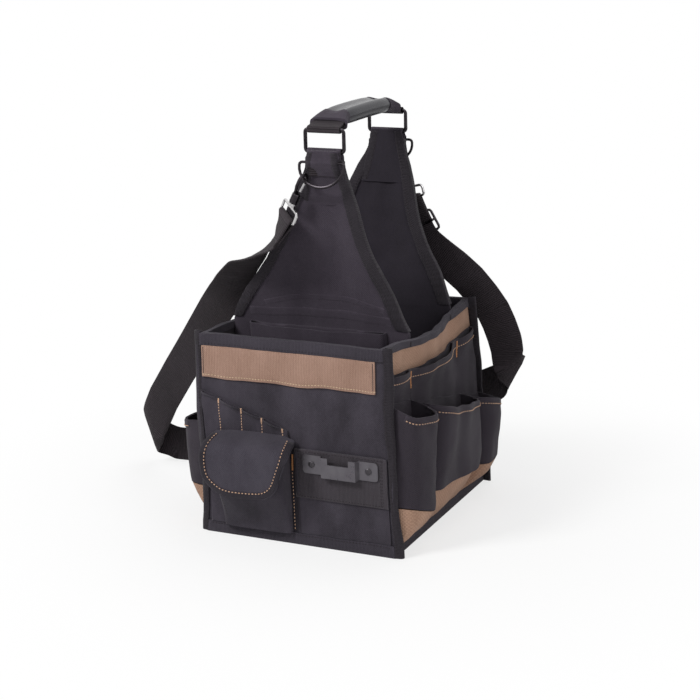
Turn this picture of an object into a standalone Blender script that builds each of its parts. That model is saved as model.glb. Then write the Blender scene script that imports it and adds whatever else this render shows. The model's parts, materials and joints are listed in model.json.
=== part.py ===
"""Open-topped tool carrier bag: a stiffened fabric box with outside pockets, two tall
dividers that carry the hand grip, and a webbing shoulder strap on two snap hooks.

Metres, +Z up. The origin is the middle of the base, on the floor. The front, with the flap
pouch and the tape clip, faces -Y, and +X is to the right of someone facing the front.
"""

import math

import bmesh
import bpy
from mathutils import Matrix, Vector

# Box, measured to the outer faces of its walls
BASE_WIDTH = 0.218
BASE_DEPTH = 0.262
BOX_HEIGHT = 0.220
RIM_WIDTH = 0.208
RIM_DEPTH = 0.240
RIM_SHIFT_X = -0.0075       # the soft box leans a little
RIM_SHIFT_Y = -0.0030
RIM_BOW = 0.0090            # how far the soft sides bow out at the middle of the rim
RIM_SAG = 0.0070            # and how far the rim dips there
BOW_POWER = 2.5

# Cloth thicknesses and the gap between touching pieces
GAP = 0.0003
WALL = 0.0030
CLOTH = 0.0012
TAPE = 0.0012               # binding tape
WEB = 0.0016                # heavy webbing
BOARD = 0.0050

# Binding tapes
RIM_TAPE_HEIGHT = 0.0125
BASE_TAPE_HEIGHT = 0.0125
CORNER_FIN = 0.0100         # how far the bound seam stands out at a corner
SEAM_FLANGE = 0.0070        # cloth of the front and rear walls inside that seam
CORNER_HEAD = 0.0018        # how far the corner tape stands above the rim
DIVIDER_TAPE_WIDTH = 0.0105

# Dividers
DIVIDER_THICKNESS = 0.0040
FRONT_DIVIDER_Y = -0.055    # at the base and the rim
REAR_DIVIDER_Y = 0.067
FRONT_LUG_Y = -0.072        # at the top
REAR_LUG_Y = 0.088
LUG_SHIFT_X = 0.0135
DIVIDER_TOP = 0.4000
NECK_HALF_WIDTH = 0.0250
SHOULDER_RISE = 0.0042      # the neck slopes in to the lug webbing's width above the top

# Handle hardware
RING_INSIDE_WIDTH = 0.0396
RING_WIRE = 0.0040
RING_BEND = 0.0032
RING_PITCH = 0.0230         # between the middles of the lower and the upper bar
LUG_WEB_WIDTH = 0.0380
LUG_STAND = 0.0072          # bare webbing between the divider's top and the lower bar
LUG_LEG = 0.0380            # how far the lug webbing reaches down over the divider
HANDLE_WEB_WIDTH = 0.0370
HANDLE_WAIST = 0.0280       # the same webbing, gathered inside the grip
GRIP_ROLL = 0.0176          # diameter of each of the two padded rolls
GRIP_RISE = 0.0095          # grip axis above the upper bars
GRIP_ARCH = 0.0008
GRIP_END_IN = 0.0280        # grip end, in from the ring
GRIP_END_ROUND = 0.0008
SLEEVE_LENGTH = 0.0170
SLEEVE_SLOPE = 1.25         # the webbing climbs inside the sleeve, so it needs more height

# D-rings and snap hooks
D_RING_RADIUS = 0.0255
D_RING_WIRE = 0.0030
D_RING_SHOULDER = 0.0030    # straight part of the D next to its bar
D_RING_DROP = 0.0100        # D-ring bar below the lower bar of the handle ring
D_RING_TILT = math.radians(15.0)
D_TAB_WIDTH = 0.0300
D_TAB_TAIL = 0.0145
HOOK_PLACES = {"front": math.radians(140.0), "rear": math.radians(78.0)}  # round the D
HOOK_WIRE = 0.0034
JAW_INSIDE = 0.0094
JAW_TIP = 0.0040            # how far the hook's tip runs down past its arch
JAW_LENGTH = 0.0160         # from the middle of the arch to the barrel
JAW_SEAT = 0.0016           # D-ring wire above the middle of the arch
BARREL_RADIUS = 0.0046
BARREL_LENGTH = 0.0110
GATE_WIRE = 0.0026
GATE_FOOT_IN = 0.0018       # gate's foot, in from its head
BOSS_RADIUS = 0.0034
BOSS_LENGTH = 0.0042
EYE_WIRE = 0.0030
EYE_HEIGHT = 0.0120
EYE_SPARE = 0.0010          # beside the strap, each side

# Shoulder strap
STRAP_WIDTH = 0.0420
STRAP_THICKNESS = 0.0018
STRAP_STEPS = 3             # between two places of its route
FRONT_TAIL = 0.0300         # strap folded back on itself at each end
REAR_TAIL = 0.0420
TAIL_SETTLE = 0.0140        # distance in which the two layers come together
SLIDE_WIRE = 0.0030
SLIDE_LENGTH = 0.0240
SLIDE_PLACE = 0.0330        # along the strap from the rear eye
# The strap's route from the front eye to the rear one, as shares of the spans below, with the
# direction across the strap and how much wider it is where it is folded over at a slant
SPAN_X = 0.230
SPAN_Y = 0.264
SPAN_Z = 0.400
STRAP_ROUTE_SHARES = (
    (-0.1161, -0.3261, 0.8510, -0.66, 0.73, 0.20, 1.00),
    (-0.1609, -0.3409, 0.8025, -0.35, 0.87, 0.35, 1.00),
    (-0.2674, -0.3182, 0.7550, 0.23, 0.95, 0.21, 1.00),
    (-0.3587, -0.2727, 0.7225, 0.59, 0.80, -0.08, 1.00),
    (-0.4478, -0.2159, 0.6775, 0.68, 0.72, -0.16, 1.00),
    (-0.5261, -0.1591, 0.6275, 0.75, 0.53, -0.39, 1.00),
    (-0.6478, -0.0947, 0.5525, 0.82, 0.20, -0.54, 1.00),
    (-0.8522, 0.0076, 0.4150, 0.84, 0.06, -0.54, 1.00),
    (-0.9913, 0.0682, 0.3200, 0.84, 0.03, -0.54, 1.00),
    (-1.1261, 0.1174, 0.2200, 0.82, 0.03, -0.57, 1.00),
    (-1.2348, 0.1515, 0.1150, 0.30, 0.03, -0.95, 1.36),
    (-1.2652, 0.1894, 0.0925, 0.30, 0.00, -0.95, 1.36),
    (-1.2304, 0.2273, 0.0750, 0.24, 0.00, -0.97, 1.25),
    (-1.1391, 0.2348, 0.0537, 0.02, 0.00, -1.00, 1.00),
    (-1.0087, 0.2500, 0.0537, 0.00, 0.00, -1.00, 1.00),
    (-0.8696, 0.3182, 0.0537, 0.00, 0.00, -1.00, 1.00),
    (-0.7478, 0.4545, 0.0537, 0.00, 0.00, -1.00, 1.00),
    (-0.5870, 0.5909, 0.0575, 0.00, 0.03, -1.00, 1.00),
    (-0.3478, 0.6477, 0.0775, 0.12, 0.04, -0.99, 1.00),
    (-0.0435, 0.6553, 0.1275, 0.25, 0.04, -0.97, 1.00),
    (0.2609, 0.6364, 0.2050, 0.34, 0.03, -0.94, 1.00),
    (0.4870, 0.6061, 0.2700, 0.28, 0.02, -0.96, 1.00),
    (0.6050, 0.5795, 0.3120, -0.38, 0.02, -0.92, 1.08),
    (0.6300, 0.5455, 0.3300, -0.62, 0.00, -0.78, 1.14),
    (0.6100, 0.5114, 0.3500, -0.80, 0.00, -0.60, 1.06),
    (0.6043, 0.5000, 0.3925, -0.97, 0.00, -0.24, 1.00),
    (0.5870, 0.4962, 0.4300, -0.92, 0.00, -0.39, 1.00),
    (0.5609, 0.4924, 0.4725, -0.88, 0.00, -0.47, 1.00),
    (0.5304, 0.4848, 0.5125, -0.84, 0.00, -0.54, 1.00),
    (0.4826, 0.4773, 0.5525, -0.79, 0.00, -0.61, 1.00),
    (0.4174, 0.4621, 0.6000, -0.74, 0.00, -0.67, 1.00),
    (0.3478, 0.4470, 0.6375, -0.72, 0.00, -0.69, 1.00),
    (0.2652, 0.4318, 0.6750, -0.76, 0.00, -0.65, 1.00),
    (0.1913, 0.4205, 0.7150, -0.85, 0.00, -0.52, 1.00),
    (0.1522, 0.4129, 0.7625, -0.90, 0.00, -0.44, 1.00),
    (0.1087, 0.4053, 0.8200, -0.97, 0.00, -0.24, 1.00),
)

# Front
TAN_STRIP_HEIGHT = 0.0340
TAN_STRIP_SHORT = 0.0080    # of black wall left bare beyond the strip's right end
SLOT_DEPTH = 0.0046
SLOT_COUNT = 3              # of full width, right of a narrower one
SLOT_WIDTH = 0.0245
SLOT_FIRST_WIDTH = 0.0190
SLOT_LEFT = -0.1050
SLOT_TAIL = 0.0055          # of sheet beyond the last seam, under the pouch's edge
SLOT_TOP_LEFT = 0.1580
SLOT_TOP_RIGHT = 0.1255
SLOT_OPEN = 0.0050          # how far down from its top edge the sheet stands open
POUCH_LEFT = -0.0860
POUCH_WIDTH = 0.0800
POUCH_DEPTH = 0.0260
POUCH_TOP = 0.1062
FLAP_TOP = 0.1162
FLAP_OVERHANG = 0.0085
FLAP_DROP = 0.0510
FLAP_CLOTH = 0.0024
PATCH_WIDTH = 0.0240        # hook-and-loop closure under the flap
PATCH_HEIGHT = 0.0230
PATCH_LOW = 0.0660
POUCH_TO_WEB = 0.0060
CLIP_WEB_HEIGHT = 0.0530
CLIP_WEB_LOW = 0.0530
CLIP_LENGTH = 0.0860
CLIP_HEIGHT = 0.0200
CLIP_PLATE = 0.0012
CLIP_BRIDGE = 0.0440
CLIP_STAND = 0.0050
CLIP_RAISED = 0.0120        # above the middle of its webbing
CLIP_CORNER = 0.0035        # rounding of its ears
CLIP_TONGUE_DROP = 0.0016   # the tongue hangs below the ears
RIVET_RADIUS = 0.0036
RIVET_HEAD = 0.0011

# Side pockets
BACK_ROW_TOP = 0.1880
BACK_ROW_DEPTH = 0.0085
BACK_ROW_OPEN = 0.0285      # how far down the back row stands open
SEAM_FRONT = -0.0710        # the two upright seams of a side, from its middle
SEAM_REAR = 0.0660
SIDE_POCKET_MARGIN = 0.0060 # clear of the corner seams

# Flat pockets: on the front divider, and across the rear
INNER_POCKET_DEPTH = 0.0080
REAR_POCKET_DEPTH = 0.0100
REAR_POCKET_BELOW = 0.0560  # its lip below the rim
FLAT_POCKET_SHARES = (0.45, 0.60, 0.75, 0.90, 1.00)

SECTION_POINTS = 5          # round corners of the pockets
BACK_SPAN = 0.0160          # length of one facet across a pocket's back
WALL_STEPS = 12             # along a bowed side
WIRE_SIDES = 8


def material(name, colour, roughness, metallic=0.0):
    found = bpy.data.materials.get(name)
    if found:
        return found
    made = bpy.data.materials.new(name)
    made.use_nodes = True
    shader = made.node_tree.nodes["Principled BSDF"]
    shader.inputs["Base Color"].default_value = (*colour, 1.0)
    shader.inputs["Roughness"].default_value = roughness
    shader.inputs["Metallic"].default_value = metallic
    made.diffuse_color = (*colour, 1.0)
    return made


def black_cloth():
    return material("black_cloth", (0.055, 0.050, 0.060), 0.85)


def black_tape():
    return material("black_tape", (0.050, 0.043, 0.052), 0.80)


def black_webbing():
    return material("black_webbing", (0.035, 0.028, 0.032), 0.75)


def tan_cloth():
    return material("tan_cloth", (0.420, 0.260, 0.170), 0.85)


def dark_metal():
    return material("dark_metal", (0.060, 0.055, 0.060), 0.35, 0.9)


def bright_metal():
    return material("bright_metal", (0.550, 0.540, 0.550), 0.25, 1.0)


def grip_vinyl():
    return material("grip_vinyl", (0.100, 0.090, 0.105), 0.45)


def add_object(name, bm, finish, origin=None, smooth=True):
    """Turn a bmesh in world coordinates into an object with its origin where asked."""
    bmesh.ops.recalc_face_normals(bm, faces=bm.faces)
    if origin is not None:
        bmesh.ops.translate(bm, verts=bm.verts, vec=-Vector(origin))
    mesh = bpy.data.meshes.new(name)
    bm.to_mesh(mesh)
    bm.free()
    mesh.materials.append(finish)
    if smooth:
        mesh.shade_smooth()
        mesh.set_sharp_from_angle(angle=math.radians(35.0))
    made = bpy.data.objects.new(name, mesh)
    if origin is not None:
        made.location = origin
    bpy.context.scene.collection.objects.link(made)
    return made


def cap(bm, row, strip):
    """Close an end: with one face, or across a bent sheet with a strip of small ones."""
    if not strip:
        bm.faces.new(row)
        return
    last = len(row) - 1
    for step in range(len(row) // 2 - 1):
        bm.faces.new((row[step], row[step + 1], row[last - step - 1], row[last - step]))


def skin(rings, closed=False, strip=False, paired=False):
    """Join rings of equally many points into a closed body, capped or run round on itself.
    Where paired is set, the two broad faces of a flat band are cut along the same slant, so a
    band that twists keeps its thickness."""
    bm = bmesh.new()
    rows = []
    for ring in rings:
        rows.append([bm.verts.new(point) for point in ring])
    count = len(rows[0])
    last = len(rows) if closed else len(rows) - 1
    for index in range(last):
        below = rows[index]
        above = rows[(index + 1) % len(rows)]
        for step in range(count):
            following = (step + 1) % count
            corners = (below[step], below[following], above[following], above[step])
            if not paired:
                bm.faces.new(corners)
            elif step * 2 < count:
                bm.faces.new((corners[0], corners[1], corners[2]))
                bm.faces.new((corners[0], corners[2], corners[3]))
            else:
                bm.faces.new((corners[0], corners[1], corners[3]))
                bm.faces.new((corners[1], corners[2], corners[3]))
    if not closed:
        cap(bm, rows[0], strip)
        cap(bm, rows[-1], strip)
    return bm


def tube(points, radius, closed=False, sides=WIRE_SIDES):
    """A round wire along points, of one radius or of one radius for each point."""
    count = len(points)
    radii = radius if isinstance(radius, list) else [radius] * count
    rings = []
    normal = None
    for index, point in enumerate(points):
        before = points[index - 1] if closed or index else point
        after = points[(index + 1) % count] if closed or index < count - 1 else point
        along = (after - before).normalized()
        if normal is None:
            normal = along.orthogonal().normalized()
        normal = (normal - along * normal.dot(along)).normalized()
        across = along.cross(normal)
        rings.append([point + radii[index] * (math.cos(math.tau * side / sides) * normal
                                              + math.sin(math.tau * side / sides) * across)
                      for side in range(sides)])
    return skin(rings, closed)


def arc(centre, first, second, start, end, steps):
    """Points on an arc about centre, at angles measured from the first axis to the second."""
    points = []
    for step in range(steps + 1):
        angle = start + (end - start) * step / steps
        points.append(centre + math.cos(angle) * first + math.sin(angle) * second)
    return points


def mix(low, high, share):
    return low + (high - low) * share


def smooth_share(value):
    value = min(max(value, 0.0), 1.0)
    return value * value * (3.0 - 2.0 * value)


def along_table(table, value):
    """Read a table of (place, amount) rows, straight between its rows."""
    for low, high in zip(table, table[1:]):
        if value <= high[0]:
            return mix(low[1], high[1], (value - low[0]) / (high[0] - low[0]))
    return table[-1][1]


# Walls of the box

def half_width(z):
    return mix(BASE_WIDTH, RIM_WIDTH, z / BOX_HEIGHT) / 2


def half_depth(z):
    return mix(BASE_DEPTH, RIM_DEPTH, z / BOX_HEIGHT) / 2


def lean(z):
    return Vector((RIM_SHIFT_X, RIM_SHIFT_Y, 0.0)) * z / BOX_HEIGHT


def softness(along, z):
    """How much of the sides' bow and sag is felt at a place on a side wall."""
    share = min(abs(along) / half_depth(z), 1.0)
    return (1.0 - share * share) ** 2 * max(z / BOX_HEIGHT, 0.0) ** BOW_POWER


def on_wall(wall, along, z, out):
    """A point on a wall: along it from its middle, at a height, and out from its face."""
    drop = 0.0
    if wall in ("front", "rear"):
        reach = half_depth(z) + out
    else:
        reach = half_width(z) + out + RIM_BOW * softness(along, z)
        drop = RIM_SAG * softness(along, z)
    turn = {"front": 0, "right": 1, "rear": 2, "left": 3}[wall]
    flat = Vector((along, -reach, 0.0))
    flat.rotate(Matrix.Rotation(turn * math.pi / 2, 3, "Z"))
    return flat + lean(z) + Vector((0.0, 0.0, z - drop))


def box_corner(side_x, side_y, z, out_x, out_y):
    corner = Vector((side_x * (half_width(z) + out_x), side_y * (half_depth(z) + out_y), z))
    return corner + lean(z)


def box_ring(z, out):
    corners = ((-1, -1), (1, -1), (1, 1), (-1, 1))
    return [box_corner(side_x, side_y, z, out, out) for side_x, side_y in corners]


TAPE_OUT = GAP + TAPE       # outer face of a tape on a wall
WALL_FOOT = TAPE + GAP      # underside of the walls, on the base tape's lip
WALL_HEAD = BOX_HEIGHT - TAPE - GAP
INSIDE = WALL + TAPE_OUT    # depth of the rim tape's inner leg behind the wall's face


def make_base():
    inset = -(WALL + GAP)
    rings = [box_ring(0.0, inset), box_ring(BOARD, inset)]
    add_object("base_board", skin(rings), black_cloth(), smooth=False)

    section = [(0.0, -WALL), (0.0, TAPE_OUT), (BASE_TAPE_HEIGHT, TAPE_OUT),
               (BASE_TAPE_HEIGHT, GAP), (TAPE, GAP), (TAPE, -WALL)]
    add_object("base_binding", ring_round_box(section), black_tape(), smooth=False)


def ring_round_box(section):
    """Carry a section of (height, out) points round the box, following its bowed sides."""
    columns = []
    for side_x, side_y, wall in ((-1, -1, "front"), (1, -1, "right"), (1, 1, "rear"),
                                 (-1, 1, "left")):
        columns.append([box_corner(side_x, side_y, z, out, out) for z, out in section])
        if wall in ("right", "left"):
            for step in range(1, WALL_STEPS):
                columns.append([on_wall(wall, spread_share(step) * (half_depth(z) + out), z,
                                        out) for z, out in section])
    return skin(columns, closed=True)


def spread_share(step):
    """Steps along a bowed wall, from one end to the other, closest together at the ends."""
    return math.sin(math.pi / 2 * (2 * step / WALL_STEPS - 1))


def wall_sheet(wall, half_of, levels):
    """A wall as a grid of levels and steps, so that it can bow."""
    rings = []
    for level in range(levels + 1):
        z = mix(WALL_FOOT, WALL_HEAD, level / levels)
        half = half_of(z)
        spread = [half * spread_share(step) for step in range(WALL_STEPS + 1)]
        rings.append([on_wall(wall, along, z, 0.0) for along in spread]
                     + [on_wall(wall, along, z, -WALL) for along in reversed(spread)])
    return skin(rings, strip=True)


def make_walls():
    """The front and rear walls run past the sides into the corner seams; the sides fit
    between them."""
    low = BASE_TAPE_HEIGHT + GAP
    high = BOX_HEIGHT - RIM_TAPE_HEIGHT - GAP
    outline = [(WALL_FOOT, 0.0), (low, 0.0), (low, SEAM_FLANGE), (high, SEAM_FLANGE),
               (high, 0.0), (WALL_HEAD, 0.0)]
    for wall in ("front", "rear"):
        rings = []
        for out in (0.0, -WALL):
            right = [on_wall(wall, half_width(z) + flange, z, out) for z, flange in outline]
            left = [on_wall(wall, -half_width(z) - flange, z, out) for z, flange in outline]
            rings.append(right + left[::-1])
        add_object(wall + "_panel", skin(rings), black_cloth(), smooth=False)
    for wall in ("left", "right"):
        bm = wall_sheet(wall, lambda z: half_depth(z) - WALL - GAP, 6)
        add_object(wall + "_panel", bm, tan_cloth())


def make_rim_binding():
    low = BOX_HEIGHT - RIM_TAPE_HEIGHT
    clear = 2 * GAP
    section = [(low, clear), (low, TAPE_OUT), (BOX_HEIGHT, TAPE_OUT), (BOX_HEIGHT, -INSIDE),
               (low, -INSIDE), (low, -WALL - clear), (BOX_HEIGHT - TAPE, -WALL - clear),
               (BOX_HEIGHT - TAPE, clear)]
    add_object("rim_binding", ring_round_box(section), black_tape(), smooth=False)


def make_corner_bindings():
    """Tape folded over each upright seam, which stands out in line with the front or rear
    wall from the floor to just above the rim."""
    root = TAPE_OUT + GAP
    tip = root + CORNER_FIN
    front = TAPE_OUT
    back = -WALL - TAPE_OUT
    bend = (front - back) / 2
    curve = []
    for step in range(7):
        angle = math.pi / 2 - math.pi * step / 6
        curve.append((tip - bend + bend * math.cos(angle),
                      (front + back) / 2 + bend * math.sin(angle)))
    section = [(root, front)] + curve + [(root, back), (root, -WALL - GAP),
                                         (SEAM_FLANGE + GAP, -WALL - GAP),
                                         (SEAM_FLANGE + GAP, GAP), (root, GAP)]
    for side_x, name_x in ((-1, "left"), (1, "right")):
        for side_y, name_y in ((-1, "front"), (1, "rear")):
            rings = []
            for z in (0.0, BOX_HEIGHT + CORNER_HEAD):
                rings.append([box_corner(side_x, side_y, z, out_x, out_y)
                              for out_x, out_y in section])
            add_object("corner_binding_" + name_y + "_" + name_x, skin(rings), black_tape(),
                       smooth=False)


# Dividers

DIVIDER_FOOT = BOARD + GAP
DIVIDER_EDGE_INSET = INSIDE + 3 * GAP
# Height between the rim and the top, against the width left between rim and neck
FLARE_SHARES = ((0.00, 1.00), (0.10, 0.87), (0.20, 0.77), (0.33, 0.57), (0.50, 0.34),
                (0.62, 0.23), (0.72, 0.17), (0.81, 0.09), (0.89, 0.02), (0.94, 0.00),
                (1.00, 0.00))
FLARE_EASE_SHARE = 0.06
FLARE_LEVEL_SHARES = (0.00, 0.05, 0.10, 0.15, 0.21, 0.27, 0.33, 0.41, 0.50, 0.56, 0.62, 0.67,
                      0.72, 0.77, 0.81, 0.86, 0.91, 0.96, 1.00)


def divider_half_width(place, z):
    low_y, _ = DIVIDER_PLACES[place]
    if z <= BOX_HEIGHT:
        return half_width(z) + RIM_BOW * softness(low_y, z) - DIVIDER_EDGE_INSET
    if z > DIVIDER_TOP:
        return mix(NECK_HALF_WIDTH, LUG_WEB_WIDTH / 2, (z - DIVIDER_TOP) / SHOULDER_RISE)
    wide = half_width(BOX_HEIGHT) + RIM_BOW * softness(low_y, BOX_HEIGHT) - DIVIDER_EDGE_INSET
    share = (z - BOX_HEIGHT) / (DIVIDER_TOP - BOX_HEIGHT)
    return mix(NECK_HALF_WIDTH, wide, flare(share))


def flare(share):
    """The flare table with its corners eased."""
    ease = min(FLARE_EASE_SHARE, share, 1.0 - share)
    return (along_table(FLARE_SHARES, share - ease) + 2 * along_table(FLARE_SHARES, share)
            + along_table(FLARE_SHARES, share + ease)) / 4


def divider_middle(place, z):
    """The middle of a divider at a height: it bends outward above the rim."""
    low_y, high_y = DIVIDER_PLACES[place]
    if z <= BOX_HEIGHT:
        return Vector((lean(z).x, low_y, z))
    share = min((z - BOX_HEIGHT) / (DIVIDER_TOP - BOX_HEIGHT), 1.0)
    return Vector((mix(RIM_SHIFT_X, LUG_SHIFT_X, share), mix(low_y, high_y, share), z))


DIVIDER_PLACES = {"front": (FRONT_DIVIDER_Y, FRONT_LUG_Y), "rear": (REAR_DIVIDER_Y, REAR_LUG_Y)}


def divider_heights(low, above):
    heights = [low]
    if low < BOX_HEIGHT / 2:
        heights += [BOX_HEIGHT * share for share in (0.33, 0.66)]
    for share in FLARE_LEVEL_SHARES:
        z = mix(BOX_HEIGHT, DIVIDER_TOP, share)
        if z > low + GAP:
            heights.append(z)
    return heights + [DIVIDER_TOP + above]


def make_divider(place):
    rings = []
    depth = Vector((0.0, DIVIDER_THICKNESS / 2, 0.0))
    for z in divider_heights(DIVIDER_FOOT, SHOULDER_RISE):
        middle = divider_middle(place, z)
        side = Vector((divider_half_width(place, z), 0.0, 0.0))
        rings.append([middle - side - depth, middle + side - depth,
                      middle + side + depth, middle - side + depth])
    add_object(place + "_divider", skin(rings), black_cloth(), smooth=False)


def make_divider_bindings(place):
    """Tape folded over each sloping edge, narrowing at the neck to clear the lug webbing."""
    low = BOX_HEIGHT + 2 * TAPE
    inner = DIVIDER_THICKNESS / 2 + GAP
    outer = inner + TAPE
    for side, name in ((-1, "left"), (1, "right")):
        rings = []
        for z in divider_heights(low, SHOULDER_RISE / 2):
            half = divider_half_width(place, z)
            middle = divider_middle(place, z)
            slope = (divider_half_width(place, min(z, DIVIDER_TOP) - TAPE) - half) / TAPE
            lug_edge = LUG_WEB_WIDTH / 2 + side * (LUG_SHIFT_X - middle.x)
            width = min(DIVIDER_TAPE_WIDTH * math.hypot(1.0, min(slope, 1.2)),
                        half - lug_edge - GAP)
            section = [(half - width, -inner), (half - width, -outer),
                       (half + TAPE_OUT, -outer), (half + TAPE_OUT, outer),
                       (half - width, outer), (half - width, inner),
                       (half + GAP, inner), (half + GAP, -inner)]
            rings.append([middle + Vector((side * reach, depth, 0.0))
                          for reach, depth in section])
        add_object(place + "_divider_binding_" + name, skin(rings), black_tape(), smooth=False)


# Cup-shaped pockets

def pocket_section(place, left, right, back, depth, z_of, corner, spans):
    """A ring round a pocket: flat at the back, with round front corners. Its height is
    z_of(share along, share out)."""
    half = (right - left) / 2
    middle = (right + left) / 2
    depth = max(depth, GAP)
    corner = min(corner, half * 0.9, depth * 0.9)
    points = [(-half, 0.0)]
    for step in range(SECTION_POINTS + 1):
        angle = math.pi / 2 * step / SECTION_POINTS
        points.append((-half + corner - corner * math.cos(angle),
                       depth - corner + corner * math.sin(angle)))
    crown = 0.08 * (half - corner)
    for share in (-0.5, 0.0, 0.5):
        points.append((share * 2 * (half - corner) * 0.6, depth + crown * (1 - share * share)))
    for step in range(SECTION_POINTS + 1):
        angle = math.pi / 2 * (1 - step / SECTION_POINTS)
        points.append((half - corner + corner * math.cos(angle),
                       depth - corner + corner * math.sin(angle)))
    points.append((half, 0.0))
    for step in range(1, spans):
        points.append((half - 2 * half * step / spans, 0.0))
    return [place(middle + along, z_of((along + half) / (2 * half), out / depth), back + out)
            for along, out in points]


def cup(place, left, right, back, low, high, depths, corner, lip_dip=0.0):
    """An open-topped pocket: rings up its outside, over the lip and down its inside. Low and
    high are pairs, the heights of its foot and of its lip at its left and right end."""
    outside = []
    inside = []
    levels = len(depths)
    spans = max(int((right - left) / BACK_SPAN), 1)
    for index, depth in enumerate(depths):
        share = index / (levels - 1)
        dip = lip_dip * share * share

        def height(along, out, raised=0.0):
            foot = mix(low[0], low[1], along) + raised
            return mix(foot, mix(high[0], high[1], along), share) - dip * out

        def height_inside(along, out):
            return height(along, out, CLOTH)

        outside.append(pocket_section(place, left, right, back, depth, height, corner, spans))
        inside.append(pocket_section(place, left + CLOTH, right - CLOTH, back + CLOTH,
                                     depth - 2 * CLOTH, height_inside, corner - CLOTH, spans))
    return skin(outside + inside[::-1])


def wall_place(wall):
    return lambda along, z, out: on_wall(wall, along, z, out)


def pocket_row(place, seams, low, top_of, sheet_out, depth, open_of, tail=0.0):
    """A sheet sewn down at its seams, standing open between them near its top edge. It may
    run on flat beyond its last seam."""
    rings = []
    inside = []
    for level in ROW_LEVELS:
        ring = []
        for along, swell in row_points(seams, tail):
            high = top_of(along)
            open_depth = open_of(along)
            z = row_height(low, high, open_depth, level)
            swollen = depth * swell * smooth_share((z - (high - open_depth)) / open_depth)
            ring.append(place(along, z, sheet_out + 2 * CLOTH + swollen))
        for along, _ in reversed(row_points(seams, tail)):
            ring.append(place(along, row_height(low, top_of(along), open_of(along), level),
                              sheet_out))
        rings.append(ring)
    body = skin(rings, strip=True)
    for left, right in zip(seams, seams[1:]):
        inside.append(row_cavity(place, left, right, top_of, sheet_out, depth, open_of))
    return body, inside


# Levels of a pocket row: up to 0 from its foot to where it starts to open, then to its lip
ROW_LEVELS = (-1.0, -0.7, -0.4, -0.2, 0.0, 0.35, 0.7, 1.0)


def row_height(low, high, open_depth, level):
    if level < 0.0:
        return mix(high - open_depth, low, -level)
    return mix(high - open_depth, high, level)


def row_points(seams, tail):
    points = []
    steps = 7
    for left, right in zip(seams, seams[1:]):
        for step in range(steps):
            share = step / steps
            points.append((mix(left, right, share), math.sin(math.pi * share) ** 0.6))
    points.append((seams[-1], 0.0))
    if tail > 0.0:
        points.append((seams[-1] + tail, 0.0))
    return points


def row_cavity(place, left, right, top_of, sheet_out, depth, open_of):
    """The wedge-shaped mouth of one cell, to be cut out of its row."""
    inset = (right - left) * 0.10
    rings = []
    levels = (0.15, 0.45, 0.80, 1.15)
    for share in levels:
        ring = []
        steps = 5
        for step in range(steps + 1):
            part = step / steps
            along = mix(left + inset, right - inset, part)
            high = top_of(along)
            z = mix(high - open_of(along), high, share)
            swell = math.sin(math.pi * (along - left) / (right - left)) ** 0.6
            fade = smooth_share(min(share, 1.0))
            ring.append(place(along, z, sheet_out + CLOTH + depth * swell * fade))
        for step in range(steps, -1, -1):
            along = mix(left + inset, right - inset, step / steps)
            z = mix(top_of(along) - open_of(along), top_of(along), share)
            ring.append(place(along, z, sheet_out + 0.8 * CLOTH))
        rings.append(ring)
    return skin(rings, strip=True)


def cut(body, cutters):
    """Cut each cutter out of a body, and keep the cutters out of the build."""
    for index, bm in enumerate(cutters):
        cutter = add_object(body.name + "_cutter_" + str(index), bm, black_cloth())
        cutter.hide_render = True
        cutter.display_type = "WIRE"
        step = body.modifiers.new("cut_" + str(index), "BOOLEAN")
        step.operation = "DIFFERENCE"
        step.object = cutter


def fuse(body, piece):
    """Join a hidden piece to a body, so that the two are one solid."""
    piece.hide_render = True
    piece.display_type = "WIRE"
    step = body.modifiers.new("fuse_" + piece.name, "BOOLEAN")
    step.operation = "UNION"
    step.object = piece


# Sides

SHEET_OUT = 2 * GAP                   # back row of side pockets, on the wall
ROW_OUT = SHEET_OUT + 2 * CLOTH + GAP # front row, on the back row's sheet
# Each side's front row of pockets: the lip's height at the wall, at the pocket's front and
# rear end, the depth, how far the lip dips outward, and the foot's height at the same two ends
FRONT_ROW = {
    "right": (("front", 0.1593, 0.1550, 0.0325, 0.0115, 0.0540, 0.0360),
              ("middle", 0.1530, 0.1260, 0.0315, 0.0040, 0.0540, 0.0490),
              ("rear", 0.1250, 0.1090, 0.0355, 0.0030, 0.0425, 0.0420)),
    "left": (("front", 0.1220, 0.1200, 0.0390, 0.0060, 0.0480, 0.0420),
             ("middle", 0.1210, 0.1190, 0.0390, 0.0060, 0.0450, 0.0450),
             ("rear", 0.1200, 0.1180, 0.0360, 0.0060, 0.0450, 0.0450)),
}
DEPTH_SHARES = (0.80, 0.90, 0.96, 1.00, 1.00)


def side_reach(z):
    return half_depth(z) - SIDE_POCKET_MARGIN


def side_place(wall):
    """Places on a side, measured at the floor and drawn in as the wall narrows upward."""
    return lambda along, z, out: on_wall(wall, along * side_reach(z) / side_reach(0.0), z, out)


def side_seams(wall):
    """The four upright seams of a side, from its left end as seen from outside."""
    end = side_reach(0.0)
    seams = [-end, SEAM_FRONT, SEAM_REAR, end]
    if wall == "left":
        seams = [-seam for seam in reversed(seams)]
    return seams


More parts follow.
